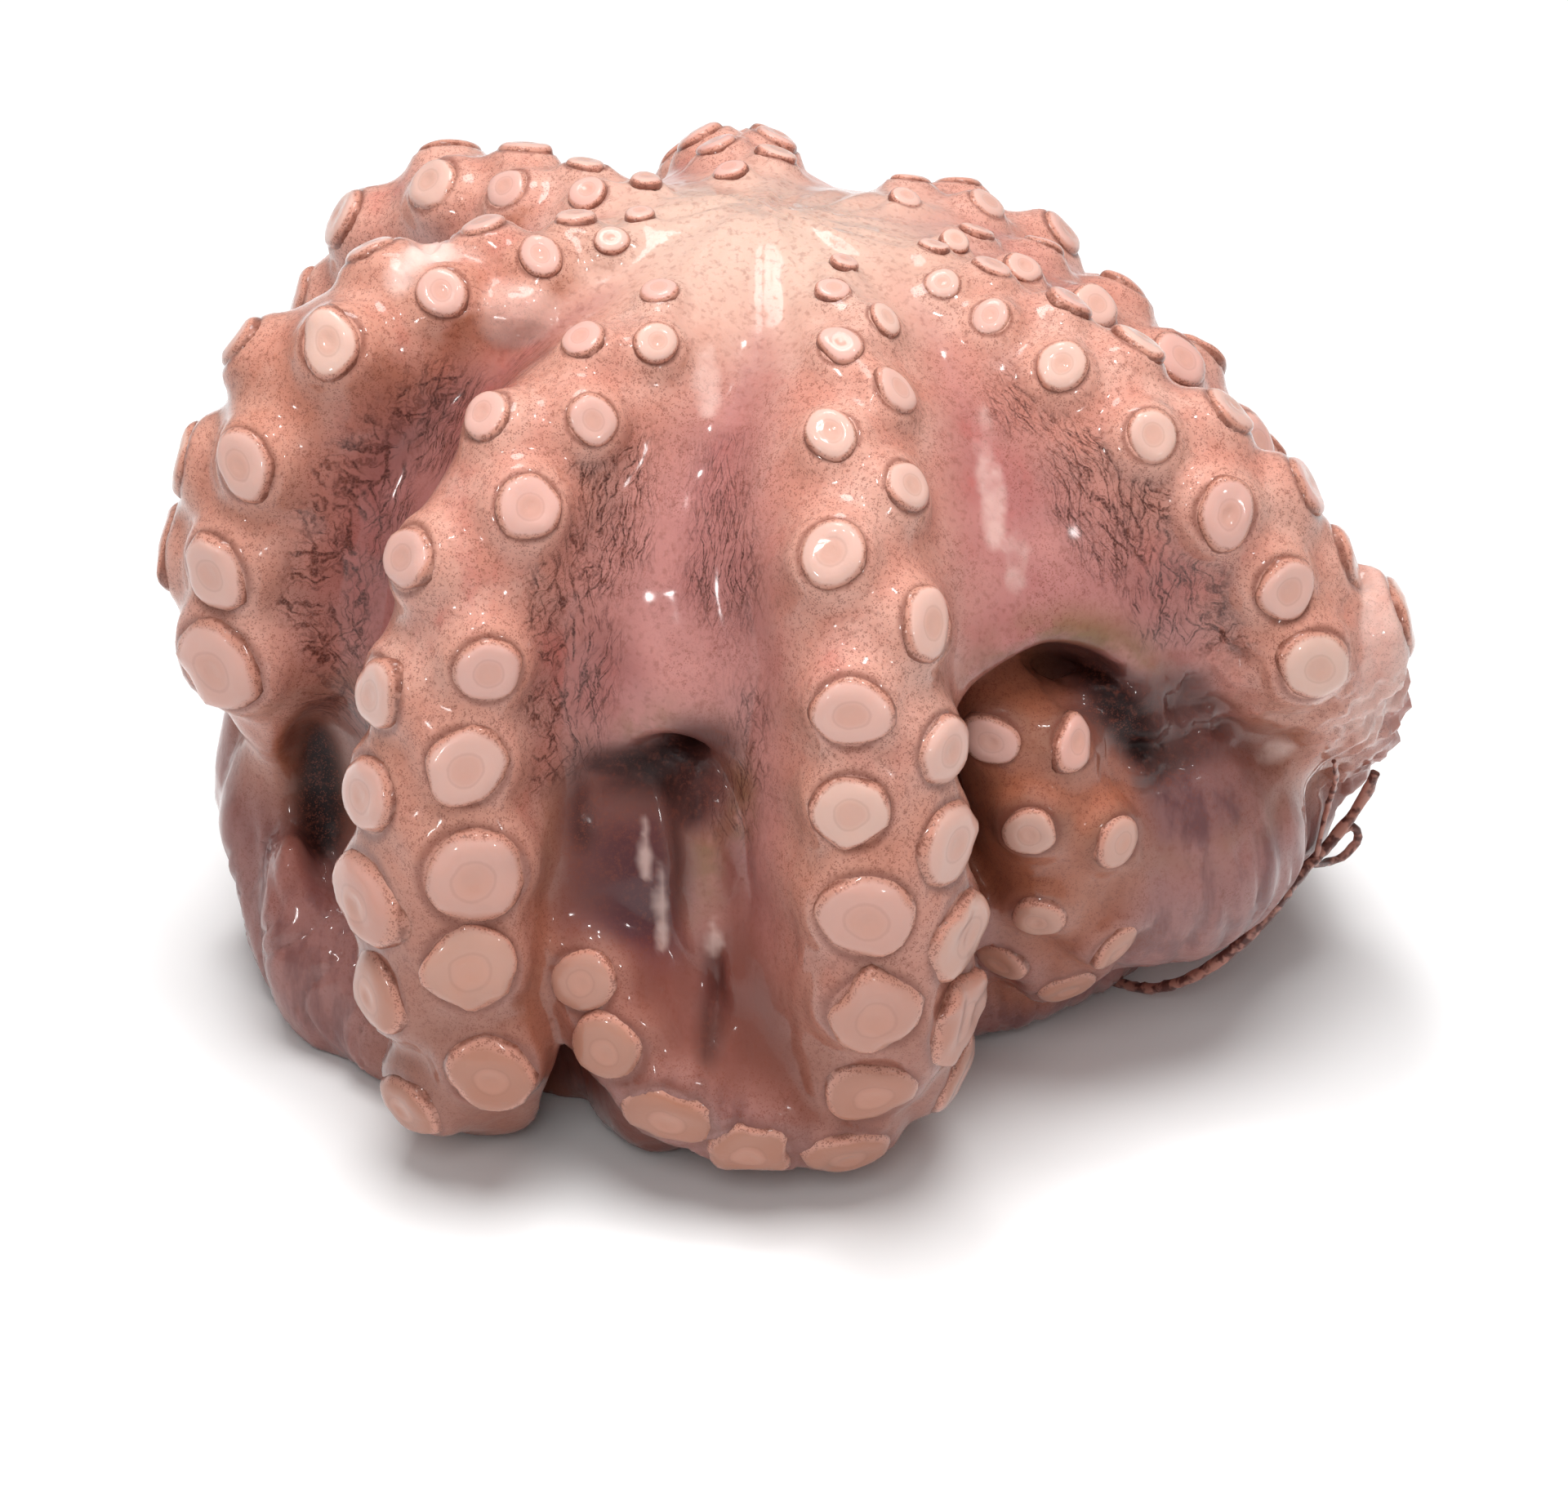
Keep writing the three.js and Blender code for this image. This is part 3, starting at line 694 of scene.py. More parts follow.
    def build(self) -> None:
        """Puts the dome, arms, folds and hollows together."""
        self.add_dome()
        for run in self.arm_runs:
            self.add_run(run, ARM_BLEND)
        for plan, run in zip(FOLDS, self.fold_runs):
            self.add_run(run, plan.blend)
        for hollow in HOLLOWS:
            self.add_lump(hollow, cut=True)
        for plan, run in zip(INNER_FOLDS, self.inner_runs):
            self.add_run(run, plan.blend)
        for lump in LUMPS:
            self.add_lump(lump)
        for gap in GAPS:
            self.add_lump(gap, cut=True)

    def about(self, centre: Array, axis: Array, reach: float
              ) -> tuple[tuple[slice, ...], Array, Array] | None:
        """The grid round a point, measured about an axis.

        Args:
            centre: the point.
            axis: the axis, one long.
            reach: how far round the point.
        Returns:
            The part of the grid, heights along the axis and radii from it, or None outside.
        """
        part = self.window(centre - reach, centre + reach)
        if part is None:
            return None
        px, py, pz = [(p - c).astype(np.float32) for p, c in zip(self.points(part), centre)]
        up = px * axis[0] + py * axis[1] + pz * axis[2]
        radius = np.sqrt(np.maximum(px * px + py * py + pz * pz - up * up, 0))
        return part, up, radius

    def add_mounds(self, seats: list[Seat], plan: MoundPlan = MoundPlan()) -> None:
        """Raises the soft, flat-topped mounds, then clears the face of every sucker.

        Args:
            seats: where the suckers sit.
            plan: the mound's sizes.
        """
        for seat in seats:
            w, soft = seat.width, plan.soft * seat.width
            centre = seat.place - seat.axis * (soft + plan.drop * w)
            found = self.about(centre, seat.axis, 1.1 * w + 5)
            if found is None:
                continue
            part, up, radius = found
            beyond = np.maximum(radius - plan.flat * w + plan.flare * np.minimum(up, 0), 0)
            distance = np.sqrt(beyond**2 + np.maximum(up, 0) ** 2) - soft
            distance = np.maximum(distance, -up - plan.depth * w)
            blend = min(plan.widest_blend, plan.blend * w)
            self.grid[part] = smooth_union(self.grid[part], distance, blend)
        for seat in seats:
            w = seat.width
            found = self.about(seat.place, seat.axis, 0.9 * w + 3)
            if found is None:
                continue
            part, up, radius = found
            space = np.maximum(radius - plan.clear * w, -up - plan.drop * w)
            space = np.maximum(space, up - plan.clear_height * w)
            self.grid[part] = -smooth_union(-self.grid[part], space, plan.clear_blend)

    def rest_on_floor(self) -> None:
        """Cuts the flesh flat where it rests."""
        z = self.axes[2][None, None, :]
        self.grid = np.maximum(self.grid, -z)


def try_seat(flesh: Flesh, run: Run, s: float, width: float, lean: float, row: int,
             nod: float = 0.0, plan: SeatPlan = SeatPlan()) -> list[Seat]:
    """Seats one sucker if it shows.

    Args:
        flesh: the flesh before its mounds are raised.
        run: the arm or fold that it sits on.
        s: how far along the run.
        width: the plain sucker's width.
        lean: how far it leans from the middle of the suckered side, in radians.
        row: 1 or -1, the side that it leans to.
        nod: how far it tips along the run.
        plan: how it is seated.
    Returns:
        The seat, or nothing where flesh or floor is in the way.
    """
    centre, girth, forward, out, side = run.at(s)
    axis = math.cos(lean) * out + row * math.sin(lean) * side + nod * forward
    axis /= np.linalg.norm(axis)
    rise = girth
    while flesh.read(centre + axis * rise) < 0 and rise < girth + plan.furthest:
        rise += plan.step
    place = centre + axis * (rise + plan.rise * width)
    ahead = place + axis * plan.ahead * width
    on_floor = place[2] < plan.off_floor * width or ahead[2] < plan.ahead_off_floor * width
    if flesh.read(ahead) < plan.free * width or on_floor:
        return []
    return [Seat(place, axis, plan.cup_size * width)]


def arm_seats(flesh: Flesh, uneven: Unevenness = Unevenness()) -> list[Seat]:
    """The suckers of the arms, left and right in turn, arm by arm.

    Args:
        flesh: the flesh before its mounds are raised.
        uneven: how much neighbours differ.
    Returns:
        The seats.
    """
    seats: list[Seat] = []
    for k, (arm, run) in enumerate(zip(ARMS, flesh.arm_runs)):
        s, row, n = arm.first_sucker, arm.lead, 0
        while s < min(run.length - 6, arm.last_sucker):
            i = 40 * k + n
            width = look_up(SUCKER_WIDTH, s) * arm.sucker_scale * (1 + uneven.width * wobble(i))
            opening = min(1.0, 0.25 + s / 60)
            lean = math.radians(arm.lean * opening + uneven.lean * wobble(i + 0.3))
            seats += try_seat(flesh, run, s, width, lean, row, uneven.nod * wobble(i + 0.6))
            row = -row
            s += look_up(SUCKER_PACE, s) * arm.pace * (1 + uneven.pace * wobble(i + 0.8))
            n += 1
    return seats


def fold_seats(flesh: Flesh, uneven: Unevenness = Unevenness()) -> list[Seat]:
    """The suckers of the folds that have a row of them, fold by fold.

    Args:
        flesh: the flesh before its mounds are raised.
        uneven: how much neighbours differ.
    Returns:
        The seats.
    """
    seats: list[Seat] = []
    plans = [*FOLDS, *INNER_FOLDS]
    runs = [*flesh.fold_runs, *flesh.inner_runs]
    for k, (plan, run) in enumerate(zip(plans, runs)):
        if plan.suckers is None:
            continue
        row = plan.suckers
        places = np.linspace(0, run.length, len(row.widths))
        s, n = row.start, 0
        while s < run.length - row.stop:
            width = float(np.interp(s, places, row.widths))
            width *= 1 + uneven.width * wobble(500 + 40 * k + n)
            lean = math.radians(float(np.interp(s, (0, run.length), row.lean)))
            seats += try_seat(flesh, run, s, width, lean, row.rows[n % len(row.rows)])
            s += 0.62 * width + 1.5 if len(row.rows) > 1 else row.pitch * width
            n += 1
    return seats


# ---------------------------------------------------------------- shader sketching


def linear(colour: Colour) -> tuple[float, float, float, float]:
    """A colour of 0 to 255 steps as the renderer's own linear one."""
    out = [(c / 255 / 12.92) if c / 255 <= 0.04045 else ((c / 255 + 0.055) / 1.055) ** 2.4
           for c in colour]
    return (out[0], out[1], out[2], 1.0)


class Sketch:
    """Short-hand for laying out the nodes of one tree."""

    def __init__(self, tree: bpy.types.NodeTree) -> None:
        """Holds the tree."""
        self.tree = tree

    def node(self, kind: str, inputs: dict | None = None, **settings: object) -> bpy.types.Node:
        """Adds a node.

        Args:
            kind: the node's type name.
            inputs: value or socket by input name or number.
            settings: the node's own properties.
        Returns:
            The node.
        """
        node = self.tree.nodes.new(kind)
        for key, value in settings.items():
            setattr(node, key, value)
        for key, value in (inputs or {}).items():
            if isinstance(value, bpy.types.NodeSocket):
                self.tree.links.new(value, node.inputs[key])
            else:
                node.inputs[key].default_value = value
        return node

    def maths(self, operation: str, *values: float | Socket) -> Socket:
        """A Math node's result."""
        return self.node("ShaderNodeMath", dict(enumerate(values)), operation=operation).outputs[0]

    def mix(self, share: float | Socket, a: Tone, b: Tone) -> Socket:
        """Two tones mixed.

        Args:
            share: how much of the second one.
            a: the first one, a socket or a colour.
            b: the second one.
        Returns:
            The mixed tone.
        """
        first, second = [linear(tone) if isinstance(tone, tuple) else tone for tone in (a, b)]
        values = {0: share, 6: first, 7: second}
        return self.node("ShaderNodeMix", values, data_type="RGBA").outputs[2]

    def step(self, value: Socket, low: float, high: float, to_low: float = 0.0,
             to_high: float = 1.0) -> Socket:
        """A value eased from one range to another.

        Args:
            value: the value.
            low: where the result is to_low.
            high: where the result is to_high; it may be below low.
            to_low: the result at low and beyond.
            to_high: the result at high and beyond.
        Returns:
            The result.
        """
        node = self.node("ShaderNodeMapRange", {0: value, 1: low, 2: high, 3: to_low, 4: to_high},
                         interpolation_type="SMOOTHSTEP")
        return node.outputs[0]

    def attribute(self, name: str) -> Socket:
        """A number kept on the mesh."""
        return self.node("ShaderNodeAttribute", attribute_name=name).outputs["Fac"]

    def place(self) -> Socket:
        """Object coordinates."""
        return self.node("ShaderNodeTexCoord").outputs["Object"]

    def stretch(self, vector: Socket, scale: tuple[float, float, float]) -> Socket:
        """Coordinates scaled along each axis."""
        node = self.node("ShaderNodeMapping", {"Vector": vector, "Scale": scale})
        return node.outputs[0]

    def noise(self, vector: Socket, scale: float | Socket, detail: float = 3.0,
              rough: float = 0.5, distortion: float = 0.0) -> bpy.types.Node:
        """A noise texture.

        Args:
            vector: where it is read.
            scale: how fine it is.
            detail: how many finer layers it has.
            rough: how strong those layers are.
            distortion: how far it is twisted.
        Returns:
            The node.
        """
        return self.node("ShaderNodeTexNoise", {"Vector": vector, "Scale": scale, "Detail": detail,
                                                "Roughness": rough, "Distortion": distortion})

    def kept(self, name: str, kind: str = "FLOAT") -> Socket:
        """A value kept on the points of a geometry."""
        return self.node("GeometryNodeInputNamedAttribute", {"Name": name},
                         data_type=kind).outputs["Attribute"]

    def unsettle(self, geometry: Socket, scale: float, detail: float, size: Socket) -> Socket:
        """Shifts the points of a geometry by noise.

        Args:
            geometry: the geometry.
            scale: how fine the noise is.
            detail: how many finer layers it has.
            size: how far it shifts them.
        Returns:
            The geometry, shifted.
        """
        bumps = self.node("ShaderNodeTexNoise", {"Scale": scale, "Detail": detail})
        centred = self.node("ShaderNodeVectorMath", {0: bumps.outputs["Color"], 1: (0.5, 0.5, 0.5)},
                            operation="SUBTRACT")
        shift = self.node("ShaderNodeVectorMath", {0: centred.outputs[0], "Scale": size},
                          operation="SCALE")
        return self.node("GeometryNodeSetPosition", {"Geometry": geometry,
                                                     "Offset": shift.outputs[0]}).outputs[0]

    def dress(self, geometry: Socket, finish: Socket) -> Socket:
        """Gives a geometry its material."""
        return self.node("GeometryNodeSetMaterial", {"Geometry": geometry,
                                                     "Material": finish}).outputs[0]


def shader_group(name: str, inputs: dict[str, float], outputs: dict[str, str]
                 ) -> tuple[bpy.types.NodeTree, Sketch, bpy.types.Node, bpy.types.Node]:
    """An empty shader node group with its ends.

    Args:
        name: the group's name.
        inputs: number inputs and their defaults.
        outputs: socket type by output name.
    Returns:
        The group, a sketch of it, its input node and its output node.
    """
    group = bpy.data.node_groups.new(name, "ShaderNodeTree")
    for key, value in inputs.items():
        socket = group.interface.new_socket(key, in_out="INPUT", socket_type="NodeSocketFloat")
        socket.default_value = value
    for key, kind in outputs.items():
        group.interface.new_socket(key, in_out="OUTPUT", socket_type=kind)
    sketch = Sketch(group)
    return group, sketch, sketch.node("NodeGroupInput"), sketch.node("NodeGroupOutput")


def geometry_tree(name: str, inputs: dict[str, str], output: str
                  ) -> tuple[bpy.types.NodeTree, Sketch, bpy.types.Node, bpy.types.Node]:
    """An empty geometry node tree with its ends.

    Args:
        name: the tree's name.
        inputs: socket kind by input name.
        output: the name of the geometry that it makes.
    Returns:
        The tree, a sketch of it, its input node and its output node.
    """
    tree = bpy.data.node_groups.new(name, "GeometryNodeTree")
    for key, kind in inputs.items():
        tree.interface.new_socket(key, in_out="INPUT", socket_type="NodeSocket" + kind)
    tree.interface.new_socket(output, in_out="OUTPUT", socket_type="NodeSocketGeometry")
    sketch = Sketch(tree)
    return tree, sketch, sketch.node("NodeGroupInput"), sketch.node("NodeGroupOutput")


class Effects:
    """The shader groups that several finishes share."""

    def __init__(self) -> None:
        """Builds each group once."""
        self.speckle = self._speckle()
        self.net = self._net()
        self.wet = self._wet()

    @staticmethod
    def _speckle() -> bpy.types.NodeTree:
        """Fine round pigment dots, thicker in some places.

        Returns:
            The group.
        """
        group, s, start, end = shader_group(
            "pigment_speckle", {"Scale": 900.0, "Size": 0.3, "Cover": 0.5},
            {"Mask": "NodeSocketFloat"})
        place = s.place()
        cells = s.node("ShaderNodeTexVoronoi", {"Vector": place, "Scale": start.outputs["Scale"]})
        size = s.noise(place, 1300.0, 1.0)
        share = s.step(size.outputs[0], 0.3, 0.7, 0.4, 1.3)
        edge = s.maths("MULTIPLY", start.outputs["Size"], share)
        dot = s.maths("SUBTRACT", edge, cells.outputs["Distance"])
        dot = s.step(dot, 0.0, 0.1)
        cover = s.noise(place, 70.0, 3.0, 0.6)
        patch = s.maths("ADD", cover.outputs[0], s.maths("SUBTRACT", start.outputs["Cover"], 0.5))
        patch = s.step(patch, 0.35, 0.62)
        s.tree.links.new(s.maths("MULTIPLY", dot, patch), end.inputs["Mask"])
        return group

    @staticmethod
    def _net() -> bpy.types.NodeTree:
        """Crossing threads of dark pigment, drawn out along the arms.

        Returns:
            The group.
        """
        group, s, start, end = shader_group(
            "pigment_net", {"Scale": 600.0, "Width": 0.06, "Cover": 0.5},
            {"Mask": "NodeSocketFloat"})
        place = s.place()
        flow = s.node("ShaderNodeAttribute", attribute_name="flow").outputs["Vector"]
        bend = s.noise(place, 150.0, 3.0, 0.6)
        bent = s.node("ShaderNodeVectorMath", {0: bend.outputs["Color"], 1: (0.0035, 0.0035, 0.0),
                                               2: flow}, operation="MULTIPLY_ADD")
        width = s.maths("MULTIPLY", start.outputs["Width"],
                        s.step(s.noise(place, 500.0, 2.0).outputs[0], 0.3, 0.7, 0.35, 1.5))
        threads = None
        for k, turn in enumerate((-0.42, -0.14, 0.16, 0.40)):
            drawn = s.node("ShaderNodeMapping", {
                "Vector": bent.outputs[0], "Rotation": (0.0, 0.0, turn)})
            across = s.node("ShaderNodeSeparateXYZ", {"Vector": drawn.outputs[0]}).outputs[0]
            turns = s.maths("FRACT", s.maths("MULTIPLY", across, start.outputs["Scale"]))
            level = s.maths("ABSOLUTE", s.maths("SUBTRACT", turns, 0.5))
            line = s.step(s.maths("SUBTRACT", width, level), -0.05, 0.04)
            gaps = s.noise(s.stretch(place, (1.0, 1.0, 0.4)), 230.0 + 40.0 * k, 2.0).outputs[0]
            line = s.maths("MULTIPLY", line, s.step(gaps, 0.42, 0.56))
            threads = line if threads is None else s.maths("MAXIMUM", threads, line)
        grains = s.step(s.noise(place, 2600.0, 1.0).outputs[0], 0.35, 0.6, 0.55, 1.0)
        patch = s.maths("ADD", s.noise(place, 90.0, 4.0, 0.6).outputs[0],
                        s.maths("SUBTRACT", start.outputs["Cover"], 0.5))
        patch = s.step(patch, 0.40, 1.0)
        mask = s.maths("MULTIPLY", s.maths("MULTIPLY", threads, grains), patch)
        s.tree.links.new(mask, end.inputs["Mask"])
        return group

    @staticmethod
    def _wet() -> bpy.types.NodeTree:
        """The fine unevenness of wet skin, as a normal.

        Returns:
            The group.
        """
        group, s, start, end = shader_group(
            "wet_relief", {"Pores": 0.00004, "Folds": 0.00018, "Ripples": 0.0001},
            {"Normal": "NodeSocketVector"})
        place = s.place()
        pores = s.noise(place, 1500.0, 2.0, 0.6)
        folds = s.noise(s.stretch(place, (1.0, 1.0, 0.45)), 260.0, 4.0, 0.55, 0.4)
        ripples = s.noise(place, 110.0, 3.0, 0.5)
        height = s.maths("MULTIPLY", pores.outputs[0], start.outputs["Pores"])
        height = s.maths("MULTIPLY_ADD", folds.outputs[0], start.outputs["Folds"], height)
        height = s.maths("MULTIPLY_ADD", ripples.outputs[0], start.outputs["Ripples"], height)
        bump = s.node("ShaderNodeBump", {"Height": height, "Distance": 1.0, "Strength": 1.0})
        s.tree.links.new(bump.outputs[0], end.inputs["Normal"])
        return group

    def use(self, sketch: Sketch, group: bpy.types.NodeTree, **values: float | Socket) -> Socket:
        """Places a group in a material.

        Args:
            sketch: the material's sketch.
            group: the group.
            values: number or socket by input name.
        Returns:
            The group's one output.
        """
        node = sketch.node("ShaderNodeGroup", node_tree=group)
        for key, value in values.items():
            socket = node.inputs[key.replace("_", " ").title()]
            if isinstance(value, bpy.types.NodeSocket):
                sketch.tree.links.new(value, socket)
            else:
                socket.default_value = value
        return node.outputs[0]


def new_material(name: str) -> tuple[bpy.types.Material, Sketch, bpy.types.Node]:
    """Makes a material.

    Args:
        name: its name.
    Returns:
        The material, its sketch and its Principled shader.
    """
    material = bpy.data.materials.new(name)
    material.use_nodes = True
    return material, Sketch(material.node_tree), material.node_tree.nodes["Principled BSDF"]


def make_wet(shader: bpy.types.Node, scatter: float, depth: float, rough: float) -> None:
    """Sets what is the same all over wet flesh.

    Args:
        shader: the Principled shader.
        scatter: how much light goes through the flesh.
        depth: how far it goes, in metres.
        rough: how rough the skin is under its wet coat.
    """
    shader.inputs["Subsurface Weight"].default_value = scatter
    shader.inputs["Subsurface Radius"].default_value = (1.0, 0.42, 0.28)
    shader.inputs["Subsurface Scale"].default_value = depth
    shader.inputs["IOR"].default_value = 1.4
    shader.inputs["Specular IOR Level"].default_value = 0.3
    shader.inputs["Roughness"].default_value = rough
    shader.inputs["Coat Roughness"].default_value = 0.09
    shader.inputs["Coat IOR"].default_value = 1.36


@dataclass(frozen=True)
class SkinFinish:
    """Pink arms, mauve web, cream crown, dark pigment and a wet coat, with painted shade in the
    hollows, creases and low down, and painted highlights.
    """

    arm: Colour = (197, 134, 117)
    arm_pale: Colour = (214, 163, 147)
    mound: Colour = (210, 157, 139)
    # amber clouds of the arms, and the tone of their painted crease shade
    amber: Colour = (172, 100, 66)
    web: Colour = (194, 134, 127)
    web_deep: Colour = (170, 108, 105)
    flush: Colour = (184, 88, 82)
    crown: Colour = (206, 174, 158)
    pigment: Colour = (70, 34, 28)
    # painted shade in the creases, and the pigment haze over the net
    shade_and_haze: Colour = (126, 72, 66)
    veil: Colour = (76, 46, 40)
    # painted shade: the flesh darker and browner towards the floor
    low: Colour = (122, 64, 42)
    speckle: Colour = (118, 62, 48)
    # painted shade: the near-black of the hollows
    hollow: Colour = (30, 11, 11)
    mantle: Colour = (148, 106, 104)
    mantle_dark: Colour = (96, 66, 72)
    sheet: Colour = (106, 54, 42)
    tongue: Colour = (78, 38, 44)
    # the curled arm's brown, partly its own tone and partly painted shade
    curled: Colour = (158, 90, 62)
    olive: Colour = (126, 92, 58)
    # pale torn flesh, and also the tone of the painted highlights
    torn: Colour = (232, 200, 190)

    def build(self, effects: Effects) -> bpy.types.Material:
        """Lays out the material.

        Args:
            effects: the shared shader groups.
        Returns:
            The material.
        """
        material, s, shader = new_material("octopus_skin")
        place = s.place()
        clouds = s.noise(place, 30.0, 3.0, 0.55).outputs[0]
        blotch = s.noise(place, 95.0, 4.0, 0.6).outputs[0]
        streak = s.noise(s.stretch(place, (1.0, 1.0, 0.22)), 210.0, 4.0, 0.6).outputs[0]
        grain = s.noise(place, 900.0, 2.0, 0.6).outputs[0]
        arm, near, net = s.attribute("arm"), s.attribute("near"), s.attribute("net")
        mantle, crease = s.attribute("mantle"), s.attribute("crease")
        arm_tone = s.mix(s.step(blotch, 0.35, 0.68), self.arm, self.arm_pale)
        web_tone = s.mix(s.step(clouds, 0.35, 0.65), self.web, self.web_deep)
        tone = s.mix(arm, web_tone, arm_tone)
        flush = s.maths("MULTIPLY", s.step(clouds, 0.50, 0.7), s.step(streak, 0.45, 0.7, 0.1, 0.7))
        tone = s.mix(flush, tone, self.flush)
        halo = s.maths("MULTIPLY", s.step(near, 1.05, 0.6), 0.5)
        tone = s.mix(halo, tone, self.mound)
        warm = s.step(s.noise(place, 22.0, 3.0, 0.5).outputs[0], 0.46, 0.66, 0.0, 0.34)
        tone = s.mix(s.maths("MULTIPLY", arm, warm), tone, self.amber)
        # painted shade: amber darkening in the creases of the arms
        dip = s.maths("MULTIPLY", arm, s.step(crease, 0.12, 0.75))
        tone = s.mix(s.maths("MULTIPLY", dip, 0.6), tone, self.amber)
        bag = s.mix(s.step(streak, 0.42, 0.66), self.mantle, self.mantle_dark)
        tone = s.mix(mantle, tone, bag)
        # low paints shade towards the floor; curled paints the curled arm's brown together with its
        # shade
        for name, colour in (("low", self.low), ("sheet", self.sheet), ("tongue", self.tongue),
                             ("curled", self.curled)):
            tone = s.mix(s.attribute(name), tone, colour)
        tone = s.mix(s.maths("MULTIPLY", s.attribute("veil"), 0.85), tone, self.veil)
        rim = s.maths("MULTIPLY", s.attribute("margin"), s.step(blotch, 0.3, 0.6))
        tone = s.mix(rim, tone, self.olive)
        tone = s.mix(s.attribute("crown"), tone, self.crown)
        # painted shade: creases darkened, less on the arms
        shade_and_haze = s.maths("MULTIPLY", crease, s.maths("SUBTRACT", 0.6, s.maths("MULTIPLY", arm, 0.5)))
        tone = s.mix(shade_and_haze, tone, self.shade_and_haze)
        # painted shade in the hollows
        tone = s.mix(s.attribute("hollow"), tone, self.hollow)
        smoke = s.maths("MULTIPLY", net, s.step(blotch, 0.30, 0.7, 0.10, 0.48))
        tone = s.mix(smoke, tone, self.shade_and_haze)
        lines = effects.use(s, effects.net, scale=560.0, width=0.07, cover=net)
        fine = effects.use(s, effects.net, scale=930.0, width=0.07, cover=net)
        lines = s.maths("MAXIMUM", lines, s.maths("MULTIPLY", fine, 0.6))
        lines = s.maths("MULTIPLY", lines, s.step(net, 0.03, 0.4))
        tone = s.mix(s.maths("MULTIPLY", lines, 0.95), tone, self.pigment)
        dots = effects.use(s, effects.speckle, scale=3000.0, size=0.42, cover=s.attribute("dots"))
        tone = s.mix(s.maths("MULTIPLY", dots, 0.5), tone, self.speckle)
        tone = s.mix(s.step(grain, 0.48, 0.75, 0.0, 0.34), tone, self.speckle)
        line = s.maths("MULTIPLY", s.step(near, 0.45, 0.485), s.step(near, 0.60, 0.50))
        tone = s.mix(s.maths("MULTIPLY", line, 0.6), tone, self.speckle)
        # painted highlights: pale glints of the wet coat, mixed into the colour
        painted_gloss = s.maths("MULTIPLY_ADD", s.noise(place, 210.0, 2.0).outputs[0], 0.5, -0.25)
        painted_gloss = s.step(s.maths("ADD", s.attribute("pale"), painted_gloss), 0.10, 0.45, 0.0, 0.5)
        tone = s.mix(s.maths("MAXIMUM", s.attribute("torn"), painted_gloss), tone, self.torn)
        s.tree.links.new(tone, shader.inputs["Base Color"])
        make_wet(shader, 0.16, 0.003, 0.4)
        rough = s.step(s.noise(place, 160.0, 3.0).outputs[0], 0.3, 0.7, 0.34, 0.5)
        s.tree.links.new(rough, shader.inputs["Roughness"])
        coat = s.step(s.noise(place, 60.0, 2.0).outputs[0], 0.35, 0.6, 0.45, 1.0)
        coat = s.maths("MULTIPLY", coat, s.step(s.attribute("hollow"), 0.25, 0.9, 1.0, 0.0))
        s.tree.links.new(coat, shader.inputs["Coat Weight"])
        relief = effects.use(s, effects.wet, folds=0.00026, ripples=0.00022)
        s.tree.links.new(relief, shader.inputs["Normal"])
        return material


@dataclass(frozen=True)
class SuckerFinish:
    """Pale discs with a brown hairline round the rim and speckled walls, darker towards the floor as
    painted shade.
    """

    disc: Colour = (214, 177, 163)
    disc_pink: Colour = (212, 164, 153)
    # painted shade: discs darker towards the floor
    disc_low_shade: Colour = (166, 110, 88)
    dimple: Colour = (198, 142, 122)
    rim_line: Colour = (106, 54, 40)
    wall: Colour = (194, 138, 120)
    speckle: Colour = (110, 58, 42)

    def build(self, effects: Effects) -> bpy.types.Material:
        """Lays out the material.

        Args:
            effects: the shared shader groups.
        Returns:
            The material.
        """
        material, s, shader = new_material("sucker_flesh")
        place = s.place()
        ring, tint = s.attribute("ring"), s.attribute("tint")
        jitter = s.maths("MULTIPLY_ADD", s.noise(place, 260.0, 3.0).outputs[0], 0.12, -0.06)
        reach = s.maths("ADD", ring, jitter)
        height = s.node("ShaderNodeSeparateXYZ", {"Vector": place}).outputs[2]
        tone = s.mix(tint, self.disc, self.disc_pink)
        # painted shade: darker towards the floor
        tone = s.mix(s.step(height, 0.09, 0.012, 0.0, 1.0), tone, self.disc_low_shade)
        dimple = s.maths("MULTIPLY", s.step(reach, 0.48, 0.26), 0.4)
        tone = s.mix(dimple, tone, self.dimple)
        edge = s.maths("MULTIPLY", s.step(reach, 0.36, 0.40), s.step(reach, 0.46, 0.42))
        tone = s.mix(s.maths("MULTIPLY", edge, 0.10), tone, self.rim_line)
        tone = s.mix(s.step(reach, 0.80, 0.93), tone, self.wall)
        dots = effects.use(s, effects.speckle, scale=2700.0, size=0.48, cover=1.0)
        where = s.maths("MULTIPLY", s.step(reach, 0.80, 0.92), 0.55)
        tone = s.mix(s.maths("MULTIPLY", dots, where), tone, self.speckle)
        broken = s.step(s.noise(place, 420.0, 2.0).outputs[0], 0.3, 0.55, 0.3, 1.0)
        line = s.maths("MULTIPLY", s.step(ring, 0.94, 0.985), broken)
        tone = s.mix(s.maths("MULTIPLY", line, 0.7), tone, self.rim_line)
        s.tree.links.new(tone, shader.inputs["Base Color"])
        make_wet(shader, 0.2, 0.0025, 0.36)
        shader.inputs["Coat Weight"].default_value = 0.8
        relief = effects.use(s, effects.wet, pores=0.00003, folds=0.00009, ripples=0.00015)
        s.tree.links.new(relief, shader.inputs["Normal"])
        return material


# ---------------------------------------------------------------- meshes


def to_frame(points: Array) -> Array:
    """Millimetres about the mouth axis as metres in the part's own frame."""
    return (points + np.array([MOUTH_AXIS[0], MOUTH_AXIS[1], 0.0])) * MM


